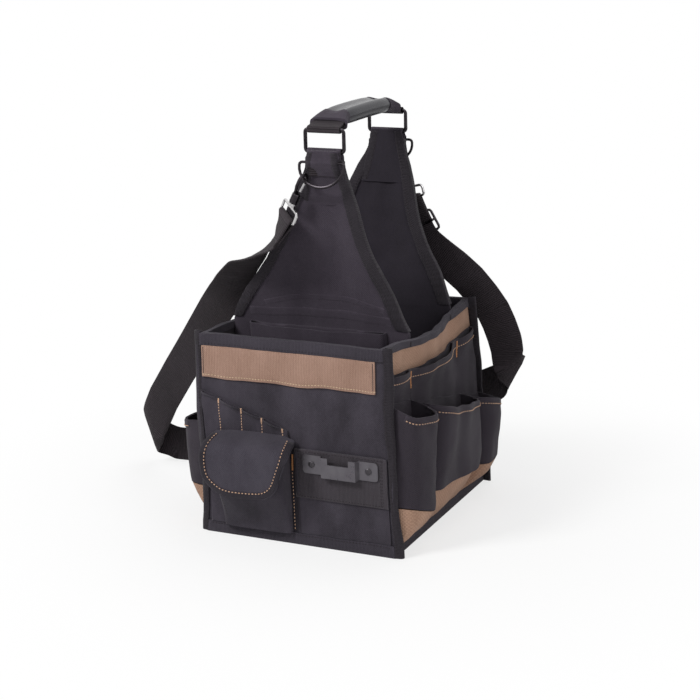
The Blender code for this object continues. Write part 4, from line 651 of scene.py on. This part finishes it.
# The rear divider and its neck covers take the darker divider cloth, painted shade
DIVIDER_LOOK = {"front": "divider", "rear": "divider_shaded"}
for wall in ("front", "rear"):
    refine(wall + "_panel", "front", cell=0.007, inner=-WALLS[wall])
    refine(wall + "_tan_strip", "tan")
    refine(wall + "_divider", DIVIDER_LOOK[wall], cell=0.006, extra=divider_shape)
    for side in ("left", "right"):
        refine(wall + "_divider_binding_" + side, "edge", cell=0.006, extra=divider_shape,
               turn=along_divider)
        refine("corner_binding_" + wall + "_" + side, "edge", extra=corner_fin)
for side in ("left", "right"):
    refine(side + "_panel", "sand", levels=1, inner=-WALLS[side])
    refine(side + "_back_pockets", "pocket", levels=1, edge=0.0003)
    refine(side + "_gusset", "sand", levels=2, cell=0, edge=0.0003)
    for part in PARTS:
        refine(side + "_pocket_" + part, "pocket", levels=2, cell=0, edge=0.00045)
# The floor board inside the bag takes the darker cloth, painted shade
refine("base_board", "inner_shade", cell=0.02)
refine("base_binding", "rim")
refine("rim_binding", "rim", cell=0.008, extra=side_rim)
refine("slot_pocket", "front", levels=1, cell=0.008, edge=0.0003)
refine("front_lower_pocket", "front")
refine("clip_webbing", "web")
refine("pouch_body", "front", levels=2, cell=0, extra=pouch_shape)
refine("pouch_flap", "flap", levels=2, cell=0, edge=0.0007, extra=flap_shape)
refine("closure_patch", "web")
refine("divider_pocket", "divider", levels=1, cell=0.008)
refine("rear_pocket", "pocket", levels=1, cell=0.008)
for place in ("front", "rear"):
    refine("lug_" + place, "divider", cell=0.006, amount=0.0, turn=slanted)
    refine("d_ring_tab_" + place, "strap", cell=0.006, amount=0.0, turn=slanted)
    refine("handle_sleeve_" + place, "divider", levels=2, cell=0, amount=0.0)
refine("handle_webbing", "strap", levels=1, cell=0, edge=0.0003, amount=0.0,
       turn=lambda co: (co.x, co.y + co.z * 0.6))
refine("handle_grip", "vinyl", levels=2, cell=0, amount=0.0)
refine("shoulder_strap", "strap", levels=1, cell=0, amount=0.0, turn=along_strap, extra=tip_in)

# Hard pieces keep their CAD shape
HARD = {"clip_plate": "plate_metal", "strap_slide": "dark_metal",
        "clip_rivet_left": "rivet_metal", "clip_rivet_right": "rivet_metal"}
for place in ("front", "rear"):
    HARD.update({piece + place: "dark_metal" for piece in ("ring_", "d_ring_", "hook_")})
    HARD.update({piece + place: "bright_metal" for piece in ("hook_gate_", "hook_swivel_")})
for node, look in HARD.items():
    if not NODES[node].material_slots:
        NODES[node].data.materials.append(LOOKS[look])
    for slot in NODES[node].material_slots:
        slot.material = LOOKS[look]


# Tape

def nearest(names, start, way, reach):
    """The first hit of a ray on the named pieces: place, normal and distance, or None."""
    best = None
    for name in names:
        spot, normal, _, away = SURFACE[name].ray_cast(start, way, reach)
        if spot is not None and (best is None or away < best[2]):
            best = (spot, normal, away)
    return best


def skin(bm, rings):
    """Faces round and between rings of points, with both ends closed."""
    rows = [[bm.verts.new(spot) for spot in ring] for ring in rings]
    for low, high in zip(rows, rows[1:]):
        for step in range(len(low)):
            turned = (step + 1) % len(low)
            bm.faces.new((low[step], low[turned], high[turned], high[step]))
    bm.faces.new(rows[0][::-1])
    bm.faces.new(rows[-1])


def lofted(name, rings, laid, look, body="bag", sharp=80.0):
    """A piece skinned over rings of points, with the flat coordinates laid for each point."""
    bm = bmesh.new()
    skin(bm, rings)
    bmesh.ops.recalc_face_normals(bm, faces=bm.faces)
    bm.verts.index_update()
    SURFACE[name] = BVHTree.FromBMesh(bm)
    put(name, bm, look, body, sharp, laid=laid)
    bm.free()


# A tape's profile: share of its width across, and share of its lift over the cloth
TAPE_ACROSS = ((-0.5, -0.6), (-0.45, 0.75), (-0.25, 1.0), (0.0, 1.05), (0.25, 1.0), (0.45, 0.75),
               (0.5, -0.6))
TAPE_SUNK = 1.6


def tape(name, nodes, line, width, look, body="bag", lift=0.0006, reach=0.016):
    """A flat tape laid over the cloth of the named nodes along (point, way out) pairs. Where
    it runs past the cloth's edge it bends down over it."""
    laid = []
    rings = []
    walked = 0.0
    for index, (spot, out) in enumerate(line):
        before = line[max(index - 1, 0)][0]
        after = line[min(index + 1, len(line) - 1)][0]
        if index:
            walked += (spot - before).length
        way = (after - before).normalized()
        across = way.cross(out).normalized()
        found = []
        for share, _ in TAPE_ACROSS:
            start = spot + wave(spot) + across * width * share + out * reach / 2
            hit = nearest(nodes, start, -out, reach)
            found.append(hit and hit[0])
        known = [i for i, place in enumerate(found) if place is not None]
        if not known:
            continue
        for i, place in enumerate(found):
            if place is None:
                close = min(known, key=lambda other: abs(other - i))
                beside = (TAPE_ACROSS[i][0] - TAPE_ACROSS[close][0]) * width
                found[i] = found[close] + across * beside * 0.6 - out * abs(beside) * 0.5
        ring = [place + out * lift * high for place, (_, high) in zip(found, TAPE_ACROSS)]
        rings.append(ring + [place - out * lift * TAPE_SUNK for place in (found[-1], found[0])])
        laid += [(share * width, walked) for share, _ in TAPE_ACROSS]
        laid += [(width / 2, walked), (-width / 2, walked)]
    lofted(name, rings, laid, look, body)


def brink(nodes, inside, outside, out, reach=0.012):
    """The last place between two that still has the named nodes' cloth under it."""
    halvings = 10
    inside, outside = inside + wave(inside), outside + wave(outside)
    for _ in range(halvings):
        middle = (inside + outside) / 2
        if nearest(nodes, middle + out * reach / 2, -out, reach) is None:
            outside = middle
        else:
            inside = middle
    return inside - wave(inside)


# Thread. A stitch's rings: share along it, thickness and rise. Rows: pitch and stitch length
STITCH = ((-0.5, 0.35, -0.25), (-0.25, 0.95, 0.22), (0.25, 0.95, 0.22), (0.5, 0.35, -0.25))
FLAP_ROW, LIP_ROW, SLOT_ROW = (0.0038, 0.0023), (0.0036, 0.0023), (0.0031, 0.0022)
NECK_ROW, END_ROW = (0.0034, 0.0023), (0.0016, 0.0018)
SALMON_WIDTH, TACK_PITCH, TACK_WIDTH = 0.0011, 0.0006, 0.0007
THREADS = defaultdict(bmesh.new)


def lay_stitch(bm, spot, along, normal, length, width):
    """One thread stitch: a short bead, thick in its middle, half sunk in the cloth."""
    along = (along - normal * along.dot(normal)).normalized()
    across = normal.cross(along)
    rings = []
    for share, swell, rise in STITCH:
        middle = spot + along * length * share + normal * width * rise
        rings.append([middle + (across * math.cos(a) + normal * math.sin(a)) * width * 0.5 * swell
                      for a in (0.0, math.pi / 2, math.pi, math.pi * 1.5)])
    skin(bm, rings)


def resample(points, pitch):
    """Points a pitch apart along a line of points, with the line's way at each."""
    found = []
    left = pitch / 2
    for low, high in zip(points, points[1:]):
        length = (high[0] - low[0]).length
        while left <= length and length > 0:
            share = left / length
            found.append((low[0].lerp(high[0], share), (high[0] - low[0]).normalized(),
                          low[1].lerp(high[1], share).normalized()))
            left += pitch
        left -= length
    return found


def sew(names, points, thread="thread_dark", pitch=0.0034, length=0.0024, width=0.0008,
        body="bag"):
    """Run a row of stitches along (point, way out) pairs, onto the cloth of the named nodes.
    Salmon thread is always the thick one."""
    above, reach = 0.006, 0.016
    if thread == "thread_salmon":
        width = SALMON_WIDTH
    bm = THREADS[thread, body]
    for spot, along, out in resample(points, pitch):
        hit = nearest(names, spot + wave(spot) + out * above, -out, reach)
        if hit is None:
            continue
        normal = hit[1] if hit[1].dot(out) > 0 else -hit[1]
        lay_stitch(bm, hit[0], along, normal, length, width)


def tack(names, middle, out, length, width, thread="thread_dark"):
    """A bar tack: level threads packed one over the other up a short line."""
    side = UP.cross(out).normalized()
    count = int(length / TACK_PITCH)
    for step in range(count + 1):
        spot = middle + UP * length * (step / count - 0.5)
        line = [(spot - side * width / 2, out), (spot + side * width / 2, out)]
        sew(names, line, thread, width, width, TACK_WIDTH)


def wall_line(wall, spots, out=0.0):
    """(Point, way out) pairs through the (along, z) spots of a wall."""
    return [(on_wall(wall, along, z, out), WALLS[wall]) for along, z in spots]


def level(wall, z, low, high, out=0.0, steps=24):
    return wall_line(wall, [(mix(low, high, s / steps), z) for s in range(steps + 1)], out)


# Seams of the rim, base, tan strips and corners, each set in from its tape's edge
SET_IN, CORNER = 0.0022, 0.004
for wall in ("front", "rear", "left", "right"):
    half = (RIM_WIDTH if wall in ("front", "rear") else RIM_DEPTH) / 2 - CORNER
    sew(["rim_binding"], level(wall, BOX_HEIGHT - TAPE_HEIGHT + SET_IN, -half, half))
    half = (BASE_WIDTH if wall in ("front", "rear") else BASE_DEPTH) / 2 - CORNER
    sew(["base_binding"], level(wall, TAPE_HEIGHT - SET_IN, -half, half))
for wall in ("front", "rear"):
    low, high = -0.1035, 0.0957
    sew([wall + "_tan_strip"], level(wall, 0.1760, low, high), "thread_pale")
    for along in (low + 0.002, high - 0.002):
        sew([wall + "_tan_strip"], wall_line(wall, [(along, 0.177), (along, 0.206)]),
            "thread_dark", *END_ROW)
    for side in (-1, 1):
        sew(["corner_binding_front_left", "corner_binding_front_right",
             "corner_binding_rear_left", "corner_binding_rear_right"],
            wall_line(wall, [(side * (half_width(z) + 0.0035), z)
                             for z in (0.004, 0.06, 0.12, 0.18, 0.218)], 0.001))

# Tool slots: the left end runs in under the corner tape, and each other seam has its bar tack
SLOT_LEFT, SLOT_SPAN, SLOT_TOPS = -0.1050, 0.0980, (0.1580, 0.1255)
for along in (-0.0860, -0.0615, -0.0370, -0.0125):
    top = mix(*SLOT_TOPS, (along - SLOT_LEFT) / SLOT_SPAN)
    sew(["slot_pocket"], wall_line("front", [(along, 0.0150), (along, top - 0.001)], 0.002),
        "thread_salmon", *SLOT_ROW)
    tack(["slot_pocket"], on_wall("front", along, top - 0.0034, 0.002), FRONT, 0.0048, 0.0021,
         "thread_salmon")

# Webbing behind the tape clip
for along in (0.0022, 0.0048, 0.0985, 0.1005):
    sew(["clip_webbing"], wall_line("front", [(along, 0.0545), (along, 0.1045)], 0.003))
for z in (0.0552, 0.1038):
    sew(["clip_webbing"], level("front", z, 0.002, 0.100, 0.003))


# Flap and pouch. The flap's edge is found on its own cloth, and a band is bound round it

def flap_edge():
    """Points round the flap's edge with the way out at each: down one side, across, up."""
    over = Vector((0.0, -0.5, 0.87))
    rows = [(z, out, over, 0.030) for out, z in ((0.0080, 0.1130), (0.0130, 0.1120),
                                                 (0.0180, 0.1105), (0.0240, 0.1085))]
    rows += [(0.1050 - 0.0036 * step, FLAP_OUT, FRONT, 0.012) for step in range(12)]
    sides = []
    for side in (-1, 1):
        beyond = FLAP_MIDDLE + side * FLAP_HALF * 1.15
        sides.append([(brink(["pouch_flap"], on_wall("front", FLAP_MIDDLE, z, out),
                             on_wall("front", beyond, z, out), way, reach), way)
                      for z, out, way, reach in rows])
    bottom = []
    for step in range(-7, 8):
        along = FLAP_MIDDLE + FLAP_HALF * 0.66 * step / 7
        bottom.append((brink(["pouch_flap"], on_wall("front", along, 0.0720, FLAP_OUT),
                             on_wall("front", along, FLAP_FOOT - 0.006, FLAP_OUT), FRONT), FRONT))
    return sides[0] + bottom + sides[1][::-1]


def drawn_in(edge, inset):
    """The same line moved in toward the flap's middle, and smoothed."""
    line = []
    for index, (spot, out) in enumerate(edge):
        before = edge[max(index - 2, 0)][0]
        after = edge[min(index + 2, len(edge) - 1)][0]
        line.append((spot + out.cross(after - before).normalized() * inset, out))
    for _ in range(3):
        inside = [((a[0] + b[0] * 2 + c[0]) / 4, (a[1] + b[1] * 2 + c[1]).normalized())
                  for a, b, c in zip(line, line[1:], line[2:])]
        line = [line[0]] + inside + [line[-1]]
    return line


EDGE = flap_edge()
tape("flap_binding", ["pouch_flap"], drawn_in(EDGE, 0.0036), 0.0080, "band", "pouch_flap",
     0.0009, 0.024)
sew(["flap_binding", "pouch_flap"], drawn_in(EDGE, 0.0062), "thread_salmon", *FLAP_ROW,
    body="pouch_flap")
tape("pouch_side_strip", ["slot_pocket", "front_lower_pocket", "front_panel", "clip_webbing"],
     wall_line("front", [(-0.0012, 0.0135 + 0.0885 * s / 18) for s in range(19)], 0.003),
     0.0100, "band")
sew(["pouch_side_strip"], wall_line("front", [(-0.0042, 0.0150), (-0.0042, 0.0780)], 0.003),
    "thread_salmon", *FLAP_ROW)
tack(["pouch_side_strip"], on_wall("front", -0.0040, 0.0895, 0.003), FRONT, 0.0170, 0.0026,
     "thread_orange")
sew(["pouch_body"], level("front", 0.0205, -0.080, -0.012, 0.024))
sew(["pouch_body"], wall_line("front", [(-0.0805, 0.018), (-0.0805, 0.052)], 0.020))

# Side pockets: a folded hem along each lip, one row of thread below it, tacks at the seams.
# A lip is its height at the front and at the back end, and its dip between them
SEAMS = (-0.125, -0.071, 0.066, 0.125)
LIPS = {"right": ((0.1593, 0.1550, 0.0115), (0.1530, 0.1260, 0.0040), (0.1250, 0.1090, 0.0030)),
        "left": ((0.1220, 0.1200, 0.0060), (0.1210, 0.1190, 0.0060), (0.1200, 0.1180, 0.0060))}
DEPTHS = {"right": (0.0325, 0.0315, 0.0355), "left": (0.0390, 0.0390, 0.0360)}


def lip_line(wall, index, node):
    """(Point, way out) pairs along a side pocket's lip, found on the pocket's own cloth."""
    low, high = (seam * WALLS[wall].x for seam in SEAMS[index:index + 2])
    near, far, dip = LIPS[wall][index]
    depth = DEPTHS[wall][index]
    middle, half = (low + high) / 2, (high - low) / 2
    drop = UP * 0.014
    lip = []
    for step in range(2, 39):
        angle = math.pi * step / 40
        bulge = math.sin(angle) ** 0.35
        top = mix(near, far, step / 40) - dip * bulge
        spot = side_spot(wall, middle - half * math.cos(angle), top, 0.004 + depth * bulge)
        deep = side_spot(wall, middle - half * 0.55 * math.cos(angle), top, depth * 0.35)
        out = Vector((spot.x - deep.x, spot.y - deep.y, 0)).normalized()
        lip.append((brink([node], spot - drop, spot + drop * 0.6, out, 0.018), out))
    return lip


for wall in ("right", "left"):
    face = WALLS[wall]
    for index, part in enumerate(PARTS):
        node = wall + "_pocket_" + part
        lip = lip_line(wall, index, node)
        tape(node + "_hem", [node], [(spot - UP * 0.0040, out) for spot, out in lip], 0.0092,
             "pocket", lift=0.0008)
        sew([node + "_hem", node], [(spot - UP * 0.0066, out) for spot, out in lip],
            "thread_salmon", *LIP_ROW)
    back = wall + "_back_pockets"
    row = [side_spot(wall, mix(-0.118, 0.118, s / 24), 0.1795, 0.006) for s in range(25)]
    sew([back], [(spot, face) for spot in row], "thread_salmon", *LIP_ROW)
    for seam, lip in zip(SEAMS[1:3], LIPS[wall]):
        along = seam * face.x
        sew([back], [(side_spot(wall, along, z, 0.004), face) for z in (0.150, 0.186)])
        tack([back], side_spot(wall, along, 0.1770, 0.004), face, 0.0180, 0.0026, "thread_orange")
        tack([back, wall + "_pocket_middle"], side_spot(wall, along, lip[1] - 0.006, 0.006), face,
             0.0100, 0.0026, "thread_orange")
        tack(["rim_binding"], side_spot(wall, along * 0.94, 0.2150, 0.003), face, 0.0070, 0.0036)

# Necks: a cloth cover runs from each ring's lower bar down over the lug and the D-ring's bar.
# Its two edges are taped, and its foot is sewn to the divider. Half widths by height
NECK_WIDTHS = ((0.3500, 0.0330), (0.3700, 0.0268), (0.3800, 0.0246), (0.3880, 0.0226),
               (0.3950, 0.0212), (0.4000, 0.0204), (0.4060, 0.0200), (0.4078, 0.0190),
               (0.4125, 0.0188))
COVER_TOP, COVER_FOOT, COVER_STEP, TAPE_WIDTH = 0.4116, 0.3540, 0.0016, 0.0092

# Rings of points, (share across, lift): all round a cover, and round the tape on one edge
COVER_RING = [(share, 0.0) for share in (-1.0, -0.97, -0.88, -0.6, -0.2, 0.2, 0.6, 0.88, 0.97,
                                         1.0)] + [(0.97, -0.0014), (-0.97, -0.0014)]
TAPE_RING = ((0.0, -0.0002), (0.04, 0.0003), (0.3, 0.0003), (0.6, 0.0003), (0.8, 0.0003),
             (0.92, 0.0003), (1.0, 0.0001), (0.9, -0.0006), (0.3, -0.0006))


def stand(nodes, x, y, z, out):
    """How far the cloth at a place stands out from the divider's middle plane."""
    spot, reach = Vector((x, y, z)), 0.020
    hit = nearest(nodes, spot + out * reach, -out, reach)
    return (hit[0] - spot).dot(out) if hit is not None else 0.0


def cover_depth(share, reach, edge, dent):
    """Across a neck the cover stands at one depth and comes down to its edges. Its dent
    leaves room for the front snap hook's wire."""
    deep = mix(reach, edge, smooth((abs(share) - 0.8) / 0.17))
    deep -= max(deep - 0.0050, 0.0) * dent * smooth((-share - 0.42) / 0.16)
    return deep - (0.0010 if abs(share) == 1.0 else 0.0)


def neck_ring(row, places, out):
    """Points over a neck at one of its rows, by (share across, lift) places."""
    z, y, reach, edge, dent = row
    return [Vector((LUG_X + share * read_off(NECK_WIDTHS, z), y, z))
            + out * (cover_depth(share, reach, edge, dent) + lift) for share, lift in places]


def neck_rows(place, out, outer_front):
    """From a cover's top to its foot: height, y of the divider's middle, how far the cover and
    its edges stand out from there, and its dent. The front's outer foot is drawn in."""
    nodes = ["lug_" + place, place + "_divider", place + "_divider_binding_left",
             place + "_divider_binding_right", "d_ring_tab_" + place]
    steps = int((COVER_TOP - COVER_FOOT) / COVER_STEP)
    found = []
    for step in range(steps + 1):
        z = mix(COVER_TOP, COVER_FOOT, step / steps)
        y, half = divider_y(place, z), read_off(NECK_WIDTHS, z)
        best = max([0.0026 if z > 0.4070 else 0.0]
                   + [stand(nodes, LUG_X + share * min(half, 0.0185), y, z, out)
                      for share in (-0.9, -0.5, 0.0, 0.5, 0.9)])
        edge = max([0.0] + [stand(nodes, LUG_X + side * (half - 0.0007), y, z, out)
                            for side in (-1, 1)])
        found.append((z, y, best, edge if edge > 0.0 and 0.3760 < z < 0.4050 else best))
    tops = [max(row[2] for row in around(found, index, 3)) for index in range(len(found))]
    rows = []
    for index, (z, y, best, _) in enumerate(found):
        near = around(tops, index, 6)
        reach = max(sum(near) / len(near), best) + 0.0004
        near = [row[3] for row in around(found, index, 1)]
        edge = min(sum(near) / len(near) + 0.0003, reach)
        sunk = dent = 0.0
        if outer_front:
            sunk = 0.0022 * (1.0 - smooth((z - COVER_FOOT) / 0.009))
            dent = smooth((z - 0.366) / 0.006) * smooth((0.396 - z) / 0.006)
        rows.append((z, y, reach - sunk, edge - sunk, dent))
    return rows


def neck_tape(name, rows, side, out):
    """The tape along one edge of a neck cover: the cover's own depth and 0.3 mm more."""
    rings = []
    laid = []
    for row in rows:
        half = read_off(NECK_WIDTHS, row[0])
        ring = [(mix(1.0 - TAPE_WIDTH / half, 1.0, step), lift) for step, lift in TAPE_RING]
        rings.append(neck_ring(row, [(side * share, lift) for share, lift in ring], out))
        laid += [(share * half, row[0]) for share, _ in ring]
    lofted(name, rings, laid, "edge")


def neck_cover(place, face):
    """A neck's cover on one face and its two edge tapes. Their thread stops short of the front's
    outer face, where the snap hook's wire lies close."""
    out = Vector((0.0, face, 0.0))
    outer = out.dot(WALLS[place]) > 0
    outer_front = outer and place == "front"
    name = "neck_cover_" + place + ("_out" if outer else "_in")
    rows = neck_rows(place, out, outer_front)
    laid = [(share * read_off(NECK_WIDTHS, row[0]), row[0]) for row in rows
            for share, _ in COVER_RING]
    lofted(name, [neck_ring(row, COVER_RING, out) for row in rows], laid, DIVIDER_LOOK[place],
           sharp=60.0)
    for side, word in ((-1, "left"), (1, "right")):
        taped = name + "_tape_" + word
        neck_tape(taped, rows[1:-1], side, out)
        if not outer_front:
            inset = 0.0078
            sew([taped, name],
                [(Vector((LUG_X + side * (read_off(NECK_WIDTHS, z) - inset), y, z)) + out * reach,
                  out) for z, y, reach, _, _ in rows[2:-2]], "thread_dark", *NECK_ROW)


for place in ("front", "rear"):
    for face in (-1, 1):
        neck_cover(place, face)

# Dividers: thread along both edge tapes on both faces
for place in ("front", "rear"):
    for out in (Vector((0, -1, 0)), Vector((0, 1, 0))):
        for side, name in ((-1, "left"), (1, "right")):
            row = [(divider_spot(place, side, z / 1000, 0.0085) + out * 0.004, out)
                   for z in range(226, 362, 6)]
            sew([place + "_divider_binding_" + name], row)

# The front divider's two hems: height, both ends, sag and width
for z, low, high, sag, width in ((0.2340, -0.088, 0.079, 0.004, 0.0100),
                                 (0.2520, -0.070, 0.072, 0.010, 0.0060)):
    shares = [step / 24 for step in range(25)]
    row = [(Vector((mix(low, high, share), divider_y("front", z),
                    z - sag * 4 * (share - 0.5) ** 2)), FRONT) for share in shares]
    tape("divider_hem_%d" % round(z * 1e4), ["front_divider"], row, width, "divider",
         lift=0.00015)

for (thread, body), bm in THREADS.items():
    put("stitching_" + thread.removeprefix("thread_") + "_" + body, bm, thread, body, sharp=80.0)
    bm.free()


# Stage, light and camera

def add(name, data):
    made = bpy.data.objects.new(name, data)
    bpy.context.scene.collection.objects.link(made)
    return made


WHITE = (1.0, 1.0, 1.0, 1.0)
world = bpy.data.worlds.new("studio")
bpy.context.scene.world = world
world.use_nodes = True
sky = Nodes(world.node_tree)
dim, plain = (sky.node("ShaderNodeBackground", {"Color": WHITE, "Strength": power}).outputs[0]
              for power in (0.28, 1.0))
rays = sky.node("ShaderNodeLightPath").outputs
direct = sky.math("MAXIMUM", rays["Is Camera Ray"], rays["Is Glossy Ray"])
sky.fill(sky.tree.nodes["World Output"].inputs["Surface"], sky.shader_mix(direct, dim, plain))

# The floor pales to plain white around the bag, as the camera sees it
floor_bm = bmesh.new()
bmesh.ops.create_circle(floor_bm, cap_ends=True, radius=6.0, segments=64)
floor_mesh = bpy.data.meshes.new("floor")
floor_bm.to_mesh(floor_mesh)
floor_bm.free()
ground = Paint("floor", 0.9)
ground.shade({"Base Color": (0.9, 0.9, 0.9, 1.0)})
shaded = ground.shader.outputs[0]
white = ground.node("ShaderNodeEmission", {"Color": WHITE}).outputs[0]
away = ground.node("ShaderNodeVectorMath", {0: ground.solid()}, operation="LENGTH")
paling = ground.node("ShaderNodeMapRange", {"From Min": 0.16, "From Max": 0.56, "To Min": 0.72,
                                            "Value": away.outputs["Value"]},
                     interpolation_type="SMOOTHSTEP").outputs["Result"]
seen = ground.node("ShaderNodeLightPath").outputs["Is Camera Ray"]
shown = ground.shader_mix(seen, shaded, ground.shader_mix(paling, shaded, white))
ground.fill(ground.tree.nodes["Material Output"].inputs["Surface"], shown)
floor_mesh.materials.append(ground.made)
floor = add("floor", floor_mesh)
floor.location = (0.0, 0.0, -0.0002)


def lamp(name, spot, size, power):
    """A square lamp turned to the bag's middle."""
    data = bpy.data.lights.new(name, "AREA")
    data.shape = "SQUARE"
    data.size = size
    data.energy = power
    made = add(name, data)
    made.location = spot
    way = Vector((0.0, 0.0, 0.2)) - Vector(spot)
    made.rotation_euler = way.to_track_quat("-Z", "Y").to_euler()


lamp("key", (-1.1, -1.5, 1.9), 0.7, 42.0)
lamp("fill", (1.9, -1.0, 1.1), 1.4, 11.0)
lamp("top", (0.2, 0.9, 2.2), 1.4, 14.0)

AZIMUTH, ELEVATION, DISTANCE, ROLL = 25.27, 15.24, 1.870, -1.40
FOCAL_PIXELS, PICTURE_PIXELS, SENSOR = 1701.0, 700.0, 36.0
TARGET = Vector((0.0025, 0.0, 0.1796))
a, e, r = (math.radians(value) for value in (AZIMUTH, ELEVATION, ROLL))
behind = Vector((math.sin(a) * math.cos(e), -math.cos(a) * math.cos(e), math.sin(e)))
right = (-behind).cross(UP).normalized()
above = right.cross(-behind).normalized()
turned_right = right * math.cos(r) + above * math.sin(r)
turned_above = above * math.cos(r) - right * math.sin(r)
camera_data = bpy.data.cameras.new("camera")
camera_data.sensor_width = SENSOR
camera_data.lens = FOCAL_PIXELS / PICTURE_PIXELS * SENSOR
camera = add("camera", camera_data)
place = TARGET + behind * DISTANCE
camera.matrix_world = Matrix((
    (turned_right.x, turned_above.x, behind.x, place.x),
    (turned_right.y, turned_above.y, behind.y, place.y),
    (turned_right.z, turned_above.z, behind.z, place.z), (0, 0, 0, 1)))
bpy.context.scene.camera = camera
bpy.context.scene.view_settings.view_transform = "Standard"
